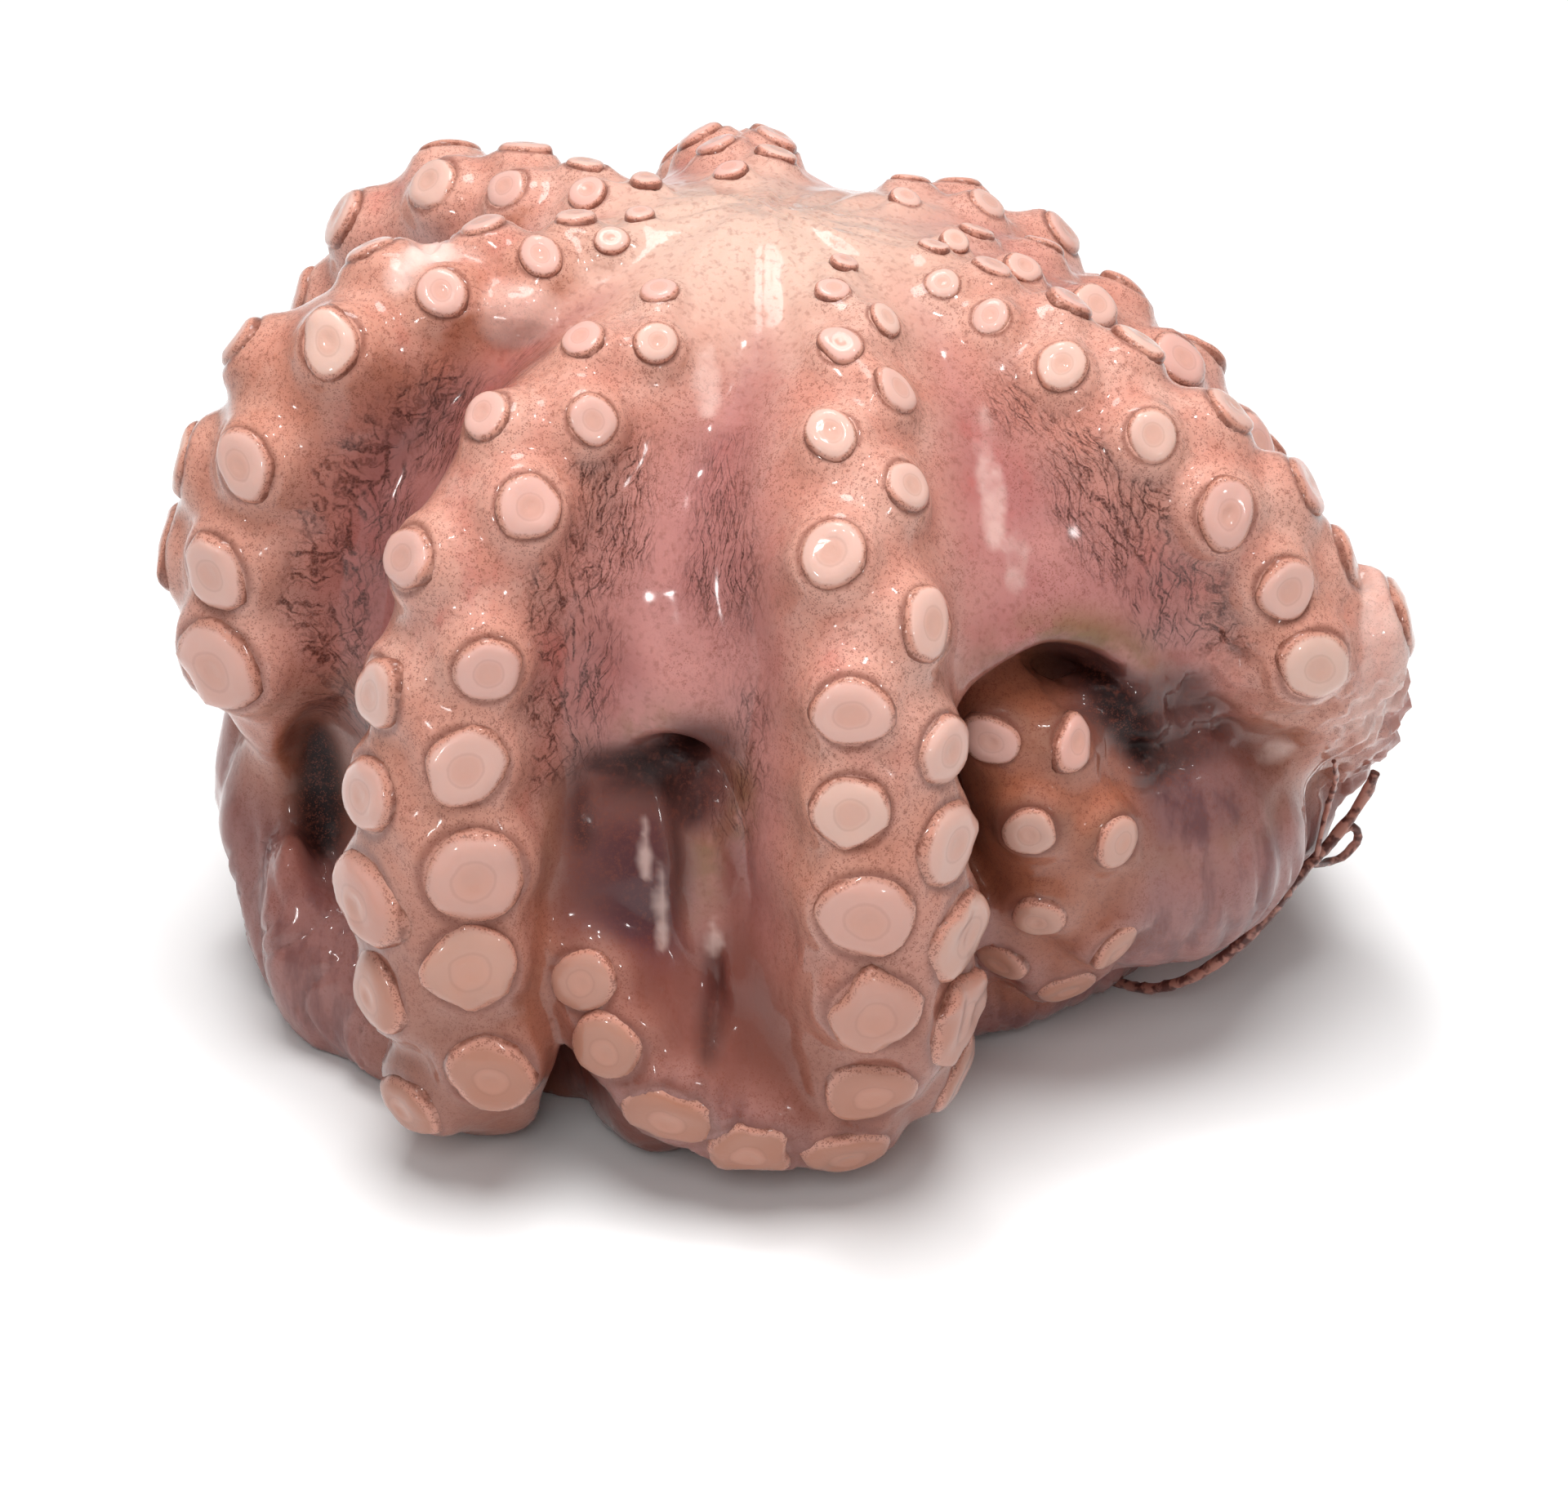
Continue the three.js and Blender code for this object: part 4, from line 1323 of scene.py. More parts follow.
def new_object(name: str, points: Array, faces: list, material: bpy.types.Material | None
               ) -> bpy.types.Object:
    """Makes a smooth mesh object.

    Args:
        name: its name.
        points: its points, in metres in the part's frame.
        faces: the point numbers of each face.
        material: its finish, if it has one.
    Returns:
        The object.
    """
    mesh = bpy.data.meshes.new(name)
    mesh.from_pydata(points.tolist(), [], faces)
    mesh.update()
    mesh.polygons.foreach_set("use_smooth", np.ones(len(mesh.polygons), bool))
    if material is not None:
        mesh.materials.append(material)
    made = bpy.data.objects.new(name, mesh)
    bpy.context.scene.collection.objects.link(made)
    return made


def paint(made: bpy.types.Object, name: str, values: Array) -> None:
    """Keeps one number a vertex on the mesh."""
    layer = made.data.attributes.new(name, "FLOAT", "POINT")
    layer.data.foreach_set("value", np.ascontiguousarray(values, np.float32))


def hand_over(made: bpy.types.Object) -> None:
    """Puts a finished piece on the part's one body.

    Args:
        made: the piece.
    """
    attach(made, "root")
    triangles = sum(len(p.vertices) - 2 for p in made.data.polygons)
    log.info("%s: %d triangles", made.name, triangles)


def grow(host: bpy.types.Object, tree: bpy.types.NodeTree, values: dict[str, object],
         name: str) -> bpy.types.Object:
    """Runs a node tree on an object and keeps what it makes as a plain piece.

    Args:
        host: what the tree works on; it is removed.
        tree: the geometry node tree.
        values: what its inputs are set to, by name.
        name: the piece's name.
    Returns:
        The piece, handed over.
    """
    modifier = host.modifiers.new("grow", "NODES")
    modifier.node_group = tree
    for item in tree.interface.items_tree:
        if item.in_out == "INPUT" and item.name in values:
            modifier[item.identifier] = values[item.name]
    bpy.context.view_layer.update()
    ready = host.evaluated_get(bpy.context.evaluated_depsgraph_get())
    mesh = bpy.data.meshes.new_from_object(ready)
    mesh.name = name
    made = bpy.data.objects.new(name, mesh)
    bpy.context.scene.collection.objects.link(made)
    mesh.polygons.foreach_set("use_smooth", np.ones(len(mesh.polygons), bool))
    bpy.data.objects.remove(host)
    hand_over(made)
    return made


@dataclass
class Skin:
    """The outside of the flesh, one closed skin."""

    flesh: Flesh
    seats: list[Seat]
    finish: SkinFinish = SkinFinish()
    relief: Relief = Relief()
    shows: float = 0.05

    def mesh(self) -> tuple[Array, list]:
        """Draws the skin over the flesh.

        Returns:
            Points in millimetres about the mouth axis, and faces that look outwards.
        """
        grid = openvdb.FloatGrid()
        grid.background = FAR
        grid.copyFromArray(np.ascontiguousarray(self.flesh.grid))
        points, triangles, quads = grid.convertToPolygons(0.0, 0.0)
        points = points.astype(float) * self.flesh.cell + np.array(self.flesh.low)
        a, b, c, d = [points[quads[:, k]] for k in range(4)]
        volume = (np.cross(b - a, c - a) * a).sum() + (np.cross(c - a, d - a) * a).sum()
        order = slice(None) if volume > 0 else slice(None, None, -1)
        faces = quads[:, order].tolist() + triangles[:, order].tolist()
        return points, faces

    def roughen(self, points: Array, normals: Array, masks: dict[str, Array]) -> Array:
        """Takes the drawn look off the shape.

        Args:
            points: millimetres about the mouth axis.
            normals: which way the skin faces at each.
            masks: where each texture goes.
        Returns:
            The points, moved by slow swells and, on loose skin, by creases.
        """
        relief = self.relief
        out = points.copy()
        loose = np.maximum(masks["mantle"], 0.5 * masks["sheet"]) * (1 - masks["hollow"])
        crown, torn, veil, ragged = [masks[k] for k in ("crown", "torn", "veil", "ragged")]
        for i, p in enumerate(points):
            v = Vector(p)
            swell = self.bump(v, relief.swell)
            swell += relief.ripple[0] * noise.noise(v / relief.ripple[1] + Vector((9, 4, 1)))
            if loose[i] > self.shows:
                swell += loose[i] * self.fold(v)
            if crown[i] > self.shows:
                turn = math.atan2(p[1], p[0])
                pleat = Vector((relief.pleat_count * math.cos(turn),
                                relief.pleat_count * math.sin(turn),
                                math.hypot(p[0], p[1]) / relief.pleat_length))
                swell += relief.pleat * crown[i] * noise.noise(pleat)
            if torn[i] > self.shows:
                swell += relief.torn[0] * torn[i] * noise.noise(v / relief.torn[1])
            if veil[i] > self.shows:
                crumple = noise.noise(Vector([x / n for x, n in zip(p, relief.veil_lengths)]))
                swell += veil[i] * (relief.veil * crumple + self.bump(v, relief.veil_fine))
            if ragged[i] > self.shows:
                edge = self.bump(v, relief.ragged) + self.bump(v, relief.ragged_fine)
                swell += ragged[i] * edge
            out[i] += normals[i] * swell * min(1.0, max(0.0, p[2] / relief.floor_fade))
        return out

    @staticmethod
    def bump(v: Vector, size: tuple[float, float]) -> float:
        """Noise of a height and a length."""
        return size[0] * noise.noise(v / size[1])

    def fold(self, v: Vector) -> float:
        """How far loose skin stands out at a point, between its creases.

        Args:
            v: the point.
        Returns:
            Millimetres, below zero in a crease.
        """
        relief = self.relief
        bent = v + relief.crease_bend[0] * noise.noise_vector(v / relief.crease_bend[1])
        across = math.atan2(bent.y, bent.x) * relief.crease_radius / relief.crease_pace
        line = noise.noise(Vector((across, bent.z / relief.crease_length, 3.0)))
        return relief.crease_rise - relief.crease_depth * max(0.0, relief.crease_width - abs(line))

    @staticmethod
    def flow(points: Array) -> Array:
        """Places over the body: round it, and from the mouth down to the floor.

        Args:
            points: millimetres about the mouth axis.
        Returns:
            Rows of metres.
        """
        turn = (np.arctan2(points[:, 1], points[:, 0]) - math.radians(118)) % (2 * math.pi)
        dip = np.arctan2(np.hypot(points[:, 0], points[:, 1]), points[:, 2] - 45.0)
        return np.stack([turn * 72 * MM, dip * 82 * MM, np.zeros(len(points))], 1)

    def arm_sides(self, points: Array) -> tuple[Array, Array]:
        """Where each point lies on the arm nearest to it.

        Args:
            points: millimetres about the mouth axis.
        Returns:
            Distances from the arm, and how far round to its suckered side, from -1 to 1.
        """
        gap = np.full(len(points), 1e9)
        oral = np.zeros(len(points))
        for run in self.flesh.arm_runs:
            distance, _, side = run.nearest(points)
            closer = distance < gap
            gap[closer], oral[closer] = distance[closer], side[closer]
        return gap, oral

    def nearness(self, points: Array, most: float = 9.0) -> Array:
        """How far each point is from the sucker nearest to it.

        Args:
            points: millimetres about the mouth axis.
            most: the largest value kept.
        Returns:
            Distances in widths of the sucker.
        """
        near = np.full(len(points), most)
        for seat in self.seats:
            away = np.sqrt(((points - seat.place) ** 2).sum(1)) / seat.width
            near = np.minimum(near, away)
        return near

    def hollows(self, xyz: list[Array]) -> tuple[Array, Array]:
        """The spaces under the web, darkened as painted shade, and the rims round them.

        Args:
            xyz: x, y and z of the points.
        Returns:
            Numbers from 0 to 1 for the spaces, and for the rims.
        """
        hollow = np.zeros(len(xyz[0]))
        margin = np.zeros(len(xyz[0]))
        for plan in HOLLOWS:
            d = self.flesh.lump_distance(xyz, plan)
            hollow = np.maximum(hollow, smooth_step(d, 3.0, -3.0))
            margin = np.maximum(margin, smooth_step(d, 10.0, 2.0))
        for plan in GAPS:
            hollow = np.maximum(hollow, smooth_step(self.flesh.lump_distance(xyz, plan), 2.0, -1.5))
        return hollow, margin

    def spots(self, xyz: list[Array], table: tuple[Spot, ...], start: float, core: float) -> Array:
        """How strongly each point is in any spot of a table.

        Args:
            xyz: x, y and z of the points.
            table: the spots.
            start: the distance from a spot where it starts to show.
            core: the distance where it shows in full.
        Returns:
            The strongest spot's strength at each point.
        """
        found = np.zeros(len(xyz[0]))
        for spot in table:
            shown = smooth_step(self.flesh.lump_distance(xyz, spot), start, core)
            found = np.maximum(found, spot.strength * shown)
        return found

    def forms(self, points: Array, xyz: list[Array]) -> tuple[dict[str, Array], dict[str, Array]]:
        """Which fold and which lump each point is on.

        Args:
            points: millimetres about the mouth axis.
            xyz: the same, as x, y and z.
        Returns:
            Numbers from 0 to 1 by the name of the fold, and by the name of the lump.
        """
        plans = (*FOLDS, *INNER_FOLDS)
        runs = (*self.flesh.fold_runs, *self.flesh.inner_runs)
        folds = {plan.name: smooth_step(run.nearest(points)[0], 6.0, 1.0)
                 for plan, run in zip(plans, runs)}
        lumps = {plan.name: smooth_step(self.flesh.lump_distance(xyz, plan), 6.0, 1.0)
                 for plan in LUMPS}
        return folds, lumps

    def masks(self, points: Array) -> dict[str, Array]:
        """Where each tone and texture of the skin goes, and where shade and highlights are painted.

        Args:
            points: millimetres about the mouth axis.
        Returns:
            Numbers from 0 to 1 by name.
        """
        xyz = [points[:, k].astype(np.float32) for k in range(3)]
        height = points[:, 2]
        radius = np.hypot(points[:, 0], points[:, 1])
        gap, oral = self.arm_sides(points)
        near = self.nearness(points)
        hollow, margin = self.hollows(xyz)
        folds, lumps = self.forms(points, xyz)

        arm = smooth_step(gap, 14.0, 0.0) * smooth_step(oral, -0.45, 0.7)
        flank = smooth_step(oral, 0.95, 0.3) * smooth_step(oral, -1.0, -0.2)
        flank = flank * smooth_step(gap, 18.0, 4.0)
        crown = smooth_step(np.hypot(radius, (height - 133) * 1.4), 48, 10)
        curled = folds["curled_arm"]
        sheet = np.maximum.reduce([folds["hook"], lumps["hook_sheet"], 0.8 * lumps["flap"]])
        sheet = sheet * (1 - 0.35 * arm)
        tongue = np.maximum.reduce([lumps["tongue"], lumps["tongue_top"], lumps["tongue_ridge"]])
        tongue = tongue * smooth_step(height, 26, 40) * smooth_step(height, 72, 63) * (1 - arm)
        sheet = sheet * (1 - tongue)
        mantle = np.maximum.reduce([folds["mantle"], folds["left_mass"], folds["left_skirt"],
                                    folds["base_fold"], lumps["right_sheet"], lumps["right_bag"],
                                    lumps["right_veil"]])
        mantle = np.maximum(mantle, smooth_step(height, 42, 22)) * (1 - arm) * (1 - sheet)
        # painted shade: how dark each hollow is painted, kept off the curled arm, sheet, arm and
        # tongue
        hollow = hollow * (1 - curled) * (1 - 0.75 * sheet) * (1 - 0.6 * arm) * (1 - 0.8 * tongue)
        hollow = np.maximum(hollow, self.spots(xyz, PAINTED_SHADE_SPOTS, 4.0, -2.0))
        arm = np.maximum(arm, curled)
        web = 1 - arm
        beside = smooth_step(near, 0.55, 1.0)
        smudge = self.spots(xyz, SMUDGES, 8.5, -4.5)
        smudge = smudge * np.maximum(smooth_step(oral, 0.96, 0.62), smooth_step(gap, 4, 10))
        net = np.clip(0.34 * flank + 0.08 * web + smudge, 0, 1) * (1 - crown) * (1 - 0.6 * mantle)
        net = net * smooth_step(height, 20, 60) * beside * (1 - curled) * (1 - 0.7 * sheet)
        dots = np.clip(0.45 + 0.25 * arm + 0.3 * (1 - beside) - 0.7 * crown, 0, 1)
        torn = [smooth_step(self.flesh.lump_distance(xyz, plan), 2.0, 0.0) * plan.torn
                for plan in LUMPS if plan.torn > 0]
        return {
            "arm": arm, "near": near, "net": net, "dots": dots,
            "crown": crown * (1 - 0.45 * web),
            # painted shade in the hollows, less on the right bag
            "hollow": hollow * (1 - 0.7 * lumps["right_bag"]), "tongue": tongue,
            "curled": 0.75 * curled,
            "margin": margin * web * (1 - hollow) * smooth_step(height, 40, 66)
            * (1 - lumps["right_veil"]) * (1 - tongue),
            "mantle": mantle * 0.85, "sheet": sheet, "torn": np.maximum.reduce(torn),
            # painted highlights, and pale edges
            "pale": self.spots(xyz, PALE_EDGES_AND_PAINTED_HIGHLIGHTS, 1.8, -1.0),
            # painted shade, darker towards the floor
            "low": 0.85 * smooth_step(height, 84, 12) * (1 - 0.6 * mantle),
            "veil": lumps["right_veil"] * (1 - curled), "ragged": folds["ragged_end"],
        }

    def creases(self, points: Array, normals: Array,
                reaches: tuple[float, ...] = (4.0, 9.0, 16.0)) -> Array:
        """How shut in the skin is; the skin is darkened there as painted shade.

        Args:
            points: millimetres about the mouth axis.
            normals: which way the skin faces at each.
            reaches: how far out from the skin flesh is looked for.
        Returns:
            0 in the open, 1 deep in a crease.
        """
        shut = np.zeros(len(points))
        for reach in reaches:
            free = self.flesh.read_many(points + normals * reach)
            shut += np.clip(1 - free / reach, 0, 1) / len(reaches)
        return smooth_step(shut, 0.12, 0.62)

    def build(self, effects: Effects) -> bpy.types.Object:
        """Makes the skin, dressed and handed over.

        Args:
            effects: the shared shader groups.
        Returns:
            The piece.
        """
        points, faces = self.mesh()
        made = new_object("skin", points, faces, self.finish.build(effects))
        normals = np.zeros(len(points) * 3, np.float32)
        made.data.vertices.foreach_get("normal", normals)
        normals = normals.reshape(-1, 3)
        masks = self.masks(points)
        # the crease mask paints shade into the creases
        masks["crease"] = self.creases(points, normals)
        moved = self.roughen(points, normals, masks)
        made.data.vertices.foreach_set("co", to_frame(moved).astype(np.float32).ravel())
        made.data.update()
        for name, values in masks.items():
            paint(made, name, values)
        flow = made.data.attributes.new("flow", "FLOAT_VECTOR", "POINT")
        flow.data.foreach_set("vector", self.flow(points).astype(np.float32).ravel())
        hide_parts("octopus")
        hand_over(made)
        return made


@dataclass
class Suckers:
    """All the suckers: one cup, set on every seat and loosened a little.

    Slack is how much looser the slackest cups are, and slack_from says how few they are.
    The front piece takes the cups in front of front_limit, in millimetres.
    """

    seats: list[Seat]
    sides: int = 26
    rim_wobble: float = 0.15
    stretch: float = 0.12
    slack: float = 1.1
    slack_from: float = 0.45
    front_limit: float = 8.0
    seed: int = 7
    finish: SuckerFinish = SuckerFinish()
    profile: tuple[tuple[float, float], ...] = (
        (0.0, 0.012), (0.08, 0.018), (0.15, 0.030), (0.195, 0.022), (0.24, 0.028),
        (0.33, 0.018), (0.39, -0.002), (0.43, -0.026), (0.455, -0.048), (0.475, -0.076),
        (0.49, -0.11), (0.50, -0.16), (0.51, -0.24),
    )

    def cup(self) -> bpy.types.Object:
        """Makes one sucker of unit width about its axis.

        Returns:
            The cup, with how far out each point lies kept on it as "ring".
        """
        points, rings = [(0.0, 0.0, self.profile[0][1])], [0.0]
        for r, z in self.profile[1:]:
            for k in range(self.sides):
                t = 2 * math.pi * k / self.sides
                points.append((r * math.cos(t), r * math.sin(t), z))
                rings.append(r / 0.5)
        faces: list[tuple[int, ...]] = []
        n = self.sides
        for k in range(n):
            faces.append((0, 1 + k, 1 + (k + 1) % n))
        for j in range(len(self.profile) - 2):
            for k in range(n):
                a, b = 1 + j * n + k, 1 + j * n + (k + 1) % n
                faces.append((a, a + n, b + n, b))
        last = 1 + (len(self.profile) - 2) * n
        faces.append(tuple(last + k for k in reversed(range(n))))
        made = new_object("sucker_cup", np.array(points), faces, None)
        paint(made, "ring", np.array(rings))
        return made

    def tree(self) -> bpy.types.NodeTree:
        """Lays out the node tree that sets the cups.

        Returns:
            The tree.
        """
        tree, s, start, end = geometry_tree(
            "set_suckers", {"Seats": "Geometry", "Cup": "Object", "Rim wobble": "Float",
                            "Stretch": "Float", "Seed": "Int", "Finish": "Material"}, "Suckers")
        axis, width = s.kept("axis", "FLOAT_VECTOR"), s.kept("width")
        aim = s.node("FunctionNodeAlignEulerToVector", {"Vector": axis}, axis="Z")
        low = s.maths("SUBTRACT", 1.0, start.outputs["Stretch"])
        high = s.maths("ADD", 1.0, start.outputs["Stretch"])
        wide = s.node("FunctionNodeRandomValue", {"Seed": start.outputs["Seed"]}, data_type="FLOAT")
        s.tree.links.new(low, wide.inputs[2])
        s.tree.links.new(high, wide.inputs[3])
        across = s.maths("MULTIPLY", width, wide.outputs[1])
        along = s.maths("DIVIDE", width, wide.outputs[1])
        scale = s.node("ShaderNodeCombineXYZ", {"X": across, "Y": along, "Z": width})
        cup = s.node("GeometryNodeObjectInfo", {"Object": start.outputs["Cup"]})
        setter = s.node("GeometryNodeInstanceOnPoints", {
            "Points": start.outputs["Seats"], "Instance": cup.outputs["Geometry"],
            "Rotation": aim.outputs[0], "Scale": scale.outputs[0]})
        spin = s.node("FunctionNodeRandomValue", {"Seed": start.outputs["Seed"]}, data_type="FLOAT")
        spin.inputs[3].default_value = 2 * math.pi
        turn = s.node("ShaderNodeCombineXYZ", {"Z": spin.outputs[1]})
        turned = s.node("GeometryNodeRotateInstances", {"Instances": setter.outputs[0],
                                                        "Rotation": turn.outputs[0]})
        real = s.node("GeometryNodeRealizeInstances", {"Geometry": turned.outputs[0]})
        size = s.maths("MULTIPLY", s.kept("width"), start.outputs["Rim wobble"])
        size = s.maths("MULTIPLY", size, s.maths("MULTIPLY", s.kept("ring"), 1.6))
        size = s.maths("MULTIPLY", size, s.kept("loose"))
        soft = s.unsettle(real.outputs[0], 120.0, 1.5, size)
        s.tree.links.new(s.dress(soft, start.outputs["Finish"]), end.inputs[0])
        return tree

    def set(self, name: str, seats: list[Seat], cup: bpy.types.Object, tree: bpy.types.NodeTree,
            material: bpy.types.Material) -> bpy.types.Object:
        """Sets the cups on some seats and makes them one plain mesh.

        Args:
            name: the piece's name.
            seats: where the cups go.
            cup: the cup of unit width.
            tree: the node tree that sets them.
            material: their finish.
        Returns:
            The piece, handed over.
        """
        points = to_frame(np.array([seat.place for seat in seats]))
        host = new_object(name + "_seats", points, [], None)
        layer = host.data.attributes.new("axis", "FLOAT_VECTOR", "POINT")
        layer.data.foreach_set("vector", np.array([s.axis for s in seats], np.float32).ravel())
        paint(host, "width", np.array([seat.width * MM for seat in seats]))
        paint(host, "tint", np.array([0.5 + 0.5 * wobble(3 * i) for i in range(len(seats))]))
        slack = [1 + self.slack * max(0.0, wobble(5 * i + 2) - self.slack_from)
                 for i in range(len(seats))]
        paint(host, "loose", np.array(slack))
        values = {"Cup": cup, "Rim wobble": self.rim_wobble, "Stretch": self.stretch,
                  "Seed": self.seed, "Finish": material}
        return grow(host, tree, values, name)

    def build(self, effects: Effects) -> list[bpy.types.Object]:
        """Makes the suckers of the front and of the back.

        Args:
            effects: the shared shader groups.
        Returns:
            The two pieces.
        """
        cup, tree = self.cup(), self.tree()
        material = self.finish.build(effects)
        front = [s for s in self.seats if s.place[1] < self.front_limit]
        back = [s for s in self.seats if s.place[1] >= self.front_limit]
        made = [self.set("suckers_front", front, cup, tree, material),
                self.set("suckers_back", back, cup, tree, material)]
        bpy.data.objects.remove(cup)
        return made


@dataclass(frozen=True)
class StrandFinish:
    """Mottled dark brown and pale skin of the thin arm tip."""

    dark: Colour = (92, 52, 46)
    pale: Colour = (176, 122, 108)

    def build(self, effects: Effects) -> bpy.types.Material:
        """Lays out the material.

        Args:
            effects: the shared shader groups.
        Returns:
            The material.
        """
        material, s, shader = new_material("strand_skin")
        bands = s.noise(s.place(), 420.0, 2.0, 0.6).outputs[0]
        tone = s.mix(s.step(bands, 0.42, 0.60), self.dark, self.pale)
        s.tree.links.new(tone, shader.inputs["Base Color"])
        make_wet(shader, 0.1, 0.0015, 0.45)
        shader.inputs["Coat Weight"].default_value = 0.6
        s.tree.links.new(effects.use(s, effects.wet), shader.inputs["Normal"])
        return material


@dataclass
class Strand:
    """The thin arm tip that hangs along the lower edge of the mantle."""

    girths: tuple[float, ...] = (1.0, 0.7, 0.5)
    sides: int = 10
    unevenness: float = 0.0011
    tuck: float = 0.988
    finish: StrandFinish = StrandFinish()
    routes: tuple[tuple[tuple[float, float, float], ...], ...] = (
        ((60, -25, 1.5), (66, -31, 4), (72, -35.5, 9), (77, -38.5, 15), (82, -40.5, 22),
         (86.5, -39, 27.5), (91, -33, 29.5), (95, -28, 30.5), (99, -24, 33), (102.5, -22, 38),
         (104, -22, 43)),
        ((93.5, -30, 29.5), (96.5, -26, 27), (100, -23.5, 27), (102, -22.5, 30), (100.5, -23, 32.5),
         (97, -26, 32)),
        ((94, -29.5, 31), (95, -28.5, 37), (95.5, -30, 43), (95.5, -35, 50), (94.5, -39.5, 57)),
    )

    def tree(self) -> bpy.types.NodeTree:
        """Lays out the node tree that rounds a route into a strand.

        Returns:
            The tree.
        """
        tree, s, start, end = geometry_tree(
            "lay_strand", {"Route": "Geometry", "Sides": "Int", "Unevenness": "Float",
                           "Finish": "Material"}, "Strand")
        girth = s.kept("girth")
        line = s.node("GeometryNodeMeshToCurve", {"Mesh": start.outputs["Route"]})
        stepped = s.node("GeometryNodeResampleCurve", {"Curve": line.outputs[0], "Length": 0.0012},
                         mode="LENGTH")
        round_ = s.node("GeometryNodeCurvePrimitiveCircle", {"Resolution": start.outputs["Sides"],
                                                             "Radius": 1.0})
        tube = s.node("GeometryNodeCurveToMesh", {"Curve": stepped.outputs[0],
                                                  "Profile Curve": round_.outputs[0],
                                                  "Scale": girth,
                                                  "Fill Caps": True})
        rough = s.unsettle(tube.outputs[0], 520.0, 2.0, start.outputs["Unevenness"])
        real = s.node("GeometryNodeRealizeInstances", {"Geometry": rough})
        s.tree.links.new(s.dress(real.outputs[0], start.outputs["Finish"]), end.inputs[0])
        return tree

    def build(self, effects: Effects) -> bpy.types.Object:
        """Lays the strand, its loop and its branch.

        Args:
            effects: the shared shader groups.
        Returns:
            The piece.
        """
        points, girths, edges = [], [], []
        for route, girth in zip(self.routes, self.girths):
            rows = curve(np.array(route, float) * (self.tuck, self.tuck, 1.0), 8)
            start = len(points)
            points += rows.tolist()
            taper = np.sin(np.linspace(0.15, 1, len(rows)) * math.pi * 0.9) * 0.3 + 0.75
            girths += (girth * taper).tolist()
            edges += [(start + i, start + i + 1) for i in range(len(rows) - 1)]
        mesh = bpy.data.meshes.new("strand_route")
        mesh.from_pydata(to_frame(np.array(points)).tolist(), edges, [])
        host = bpy.data.objects.new("strand_route", mesh)
        bpy.context.scene.collection.objects.link(host)
        paint(host, "girth", np.array(girths) * MM)
        values = {"Sides": self.sides, "Unevenness": self.unevenness,
                  "Finish": self.finish.build(effects)}
        return grow(host, self.tree(), values, "strand")


# ---------------------------------------------------------------- studio


@dataclass(frozen=True)
class Lamp:
    """A round lamp: place and size in metres, and power in watts.

    It may light the surfaces, show in them as a glint, or both.
    """

    place: tuple[float, float, float]
    size: float
    power: float
    lights: bool
    glints: bool


class LampRole(Enum):
    """What each lamp is for."""

    KEY = Lamp((0.03, -0.10, 1.13), 0.75, 11.9, lights=True, glints=False)
    FILL = Lamp((-0.10, -0.85, 0.85), 0.5, 2.8, lights=True, glints=False)
    SHEEN = Lamp((-0.10, 0.22, 1.10), 0.35, 3.3, lights=True, glints=True)
    SPARKLE_LEFT = Lamp((-0.42, -0.45, 0.95), 0.06, 1.0, lights=False, glints=True)
    SPARKLE_MIDDLE = Lamp((-0.05, -0.35, 1.10), 0.05, 0.75, lights=False, glints=True)
    SPARKLE_RIGHT = Lamp((0.35, -0.15, 1.15), 0.07, 1.1, lights=False, glints=True)
    SPARKLE_LOW_LEFT = Lamp((-0.62, -0.80, 0.42), 0.07, 0.8, lights=False, glints=True)
    SPARKLE_LOW_RIGHT = Lamp((0.55, -0.85, 0.50), 0.07, 0.8, lights=False, glints=True)


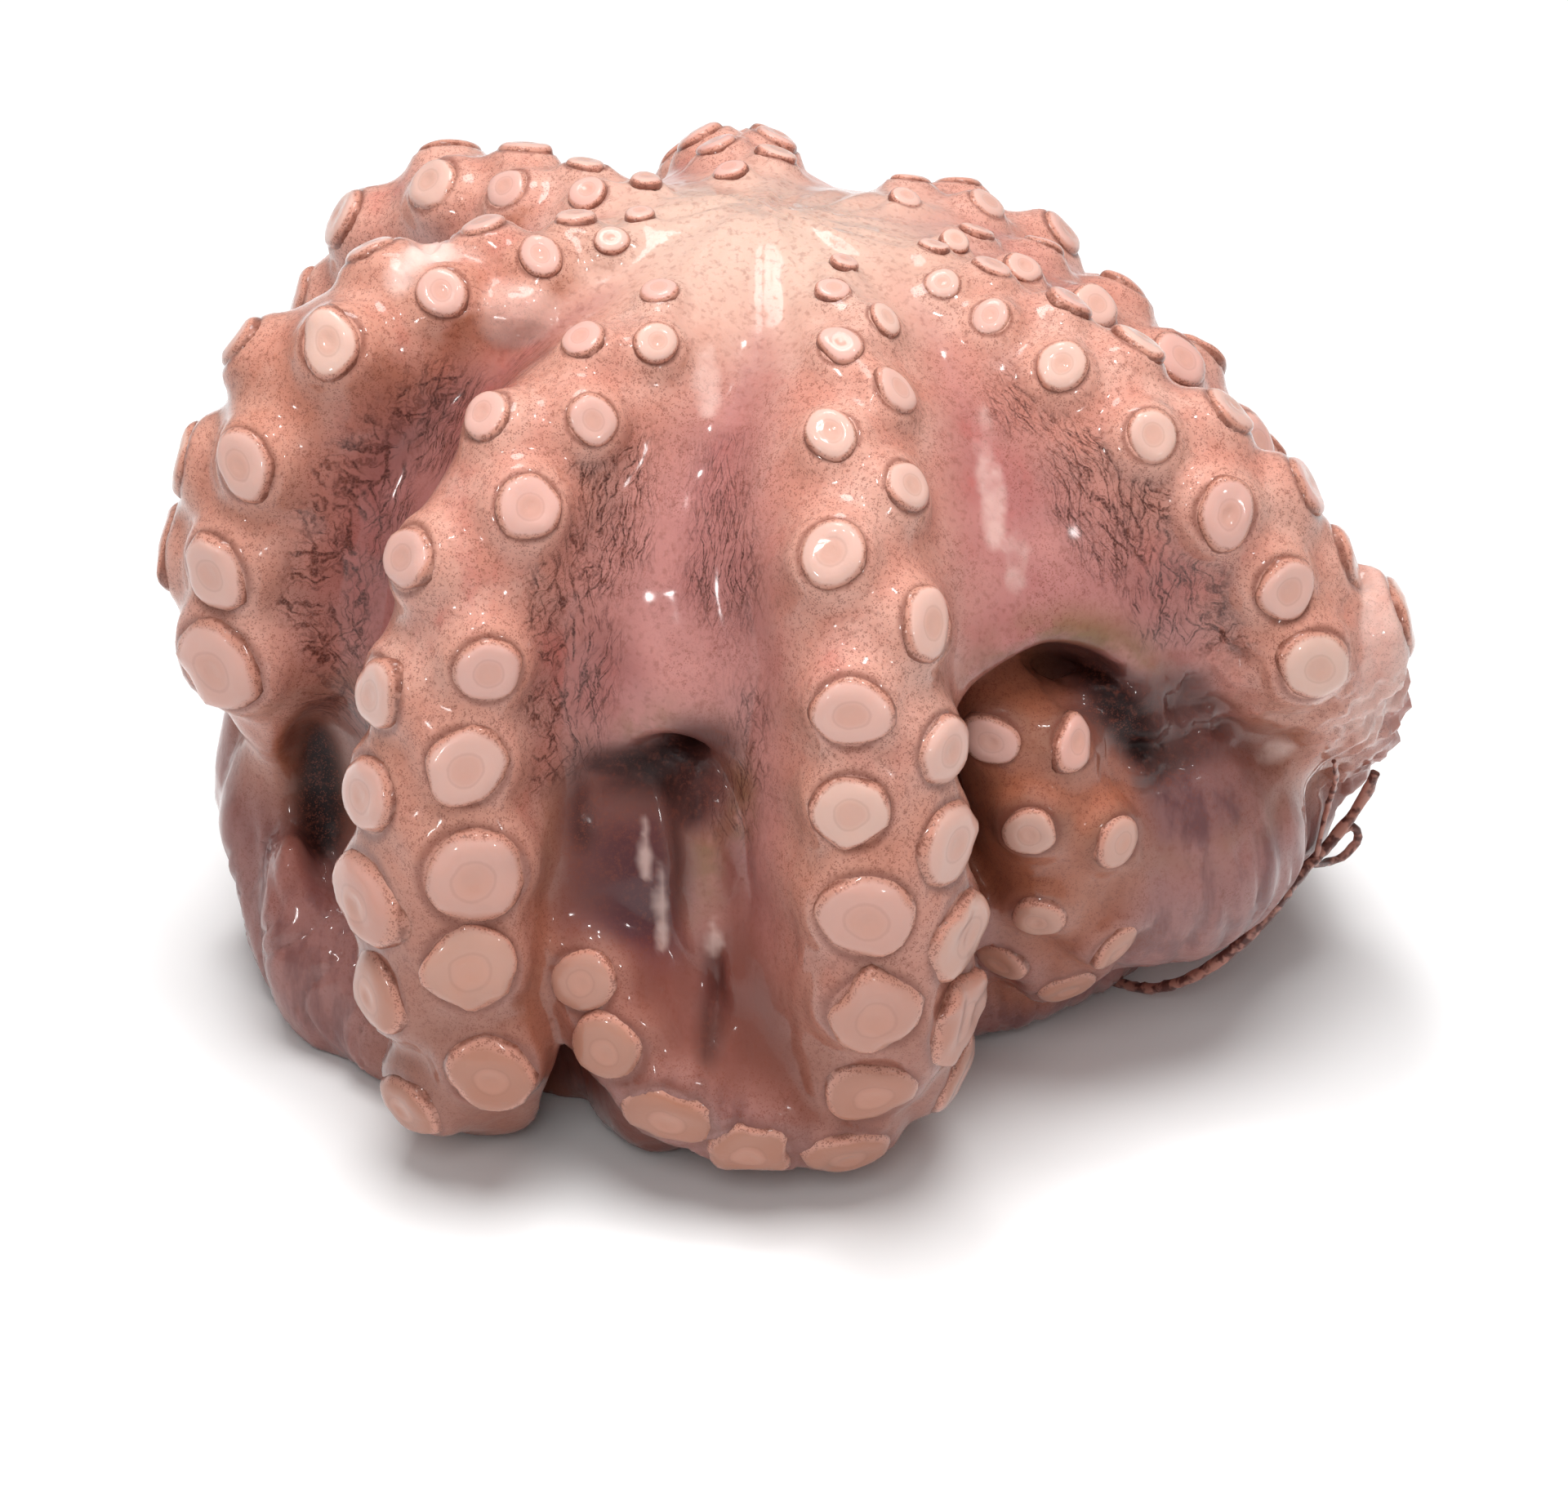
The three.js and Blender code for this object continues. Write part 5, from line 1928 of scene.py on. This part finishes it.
@dataclass
class Studio:
    """A pale floor, soft light and the camera."""

    elevation: float = 34.0
    distance: float = 0.82
    aim: tuple[float, float, float] = (0.0, -0.00076, 0.033)
    pixels_per_mm: float = 7.05
    image_width: float = 1920.0
    sensor_width: float = 36.0
    world_light: float = 0.31
    lit: tuple[float, float, float] = (0.0, 0.0, 0.06)

    def floor(self) -> bpy.types.Object:
        """Makes the bare white surface.

        Returns:
            The floor.
        """
        material, s, shader = new_material("pale_floor")
        shader.inputs["Base Color"].default_value = (0.9, 0.9, 0.9, 1)
        rough = s.step(s.noise(s.place(), 9.0).outputs[0], 0.3, 0.7, 0.55, 0.65)
        s.tree.links.new(rough, shader.inputs["Roughness"])
        points = np.array([(-3, -3, 0), (3, -3, 0), (3, 3, 0), (-3, 3, 0)], float)
        made = new_object("floor", points, [(0, 1, 2, 3)], material)
        return made

    def lamps(self) -> None:
        """The world and the soft lamps."""
        world = bpy.data.worlds.new("soft_room")
        bpy.context.scene.world = world
        world.use_nodes = True
        back = world.node_tree.nodes["Background"]
        back.inputs[0].default_value = (1, 1, 1, 1)
        back.inputs[1].default_value = self.world_light
        for role in LampRole:
            lamp = role.value
            light = bpy.data.lights.new(role.name.lower(), "AREA")
            light.shape, light.size, light.energy = "DISK", lamp.size, lamp.power
            made = bpy.data.objects.new(role.name.lower(), light)
            made.location = lamp.place
            made.visible_glossy = lamp.glints
            made.visible_diffuse = lamp.lights
            away = Vector(self.lit) - Vector(lamp.place)
            made.rotation_euler = away.to_track_quat("-Z", "Y").to_euler()
            bpy.context.scene.collection.objects.link(made)

    def camera(self) -> bpy.types.Object:
        """Sets a camera that looks down at the front of the heap.

        Returns:
            The camera.
        """
        data = bpy.data.cameras.new("camera")
        data.sensor_width = self.sensor_width
        data.lens = (self.sensor_width * self.pixels_per_mm * self.distance / MM
                     / self.image_width)
        made = bpy.data.objects.new("camera", data)
        e = math.radians(self.elevation)
        back = Vector((0, -math.cos(e), math.sin(e)))
        made.location = Vector(self.aim) + back * self.distance
        made.rotation_mode = "QUATERNION"
        made.rotation_quaternion = (-back).to_track_quat("-Z", "Y")
        bpy.context.scene.collection.objects.link(made)
        bpy.context.scene.camera = made
        return made

    def build(self) -> None:
        """Sets the whole studio up."""
        self.floor()
        self.lamps()
        self.camera()
        bpy.context.scene.view_settings.view_transform = "Standard"


def main() -> None:
    """Builds the octopus and its studio."""
    effects = Effects()
    flesh = Flesh(SKIN_CELL)
    flesh.build()
    seats = arm_seats(flesh) + fold_seats(flesh)
    log.info("%d suckers", len(seats))
    flesh.add_mounds(seats)
    flesh.rest_on_floor()
    Skin(flesh, seats).build(effects)
    Suckers(seats).build(effects)
    Strand().build(effects)
    Studio().build()


if __name__ == "__main__":
    main()
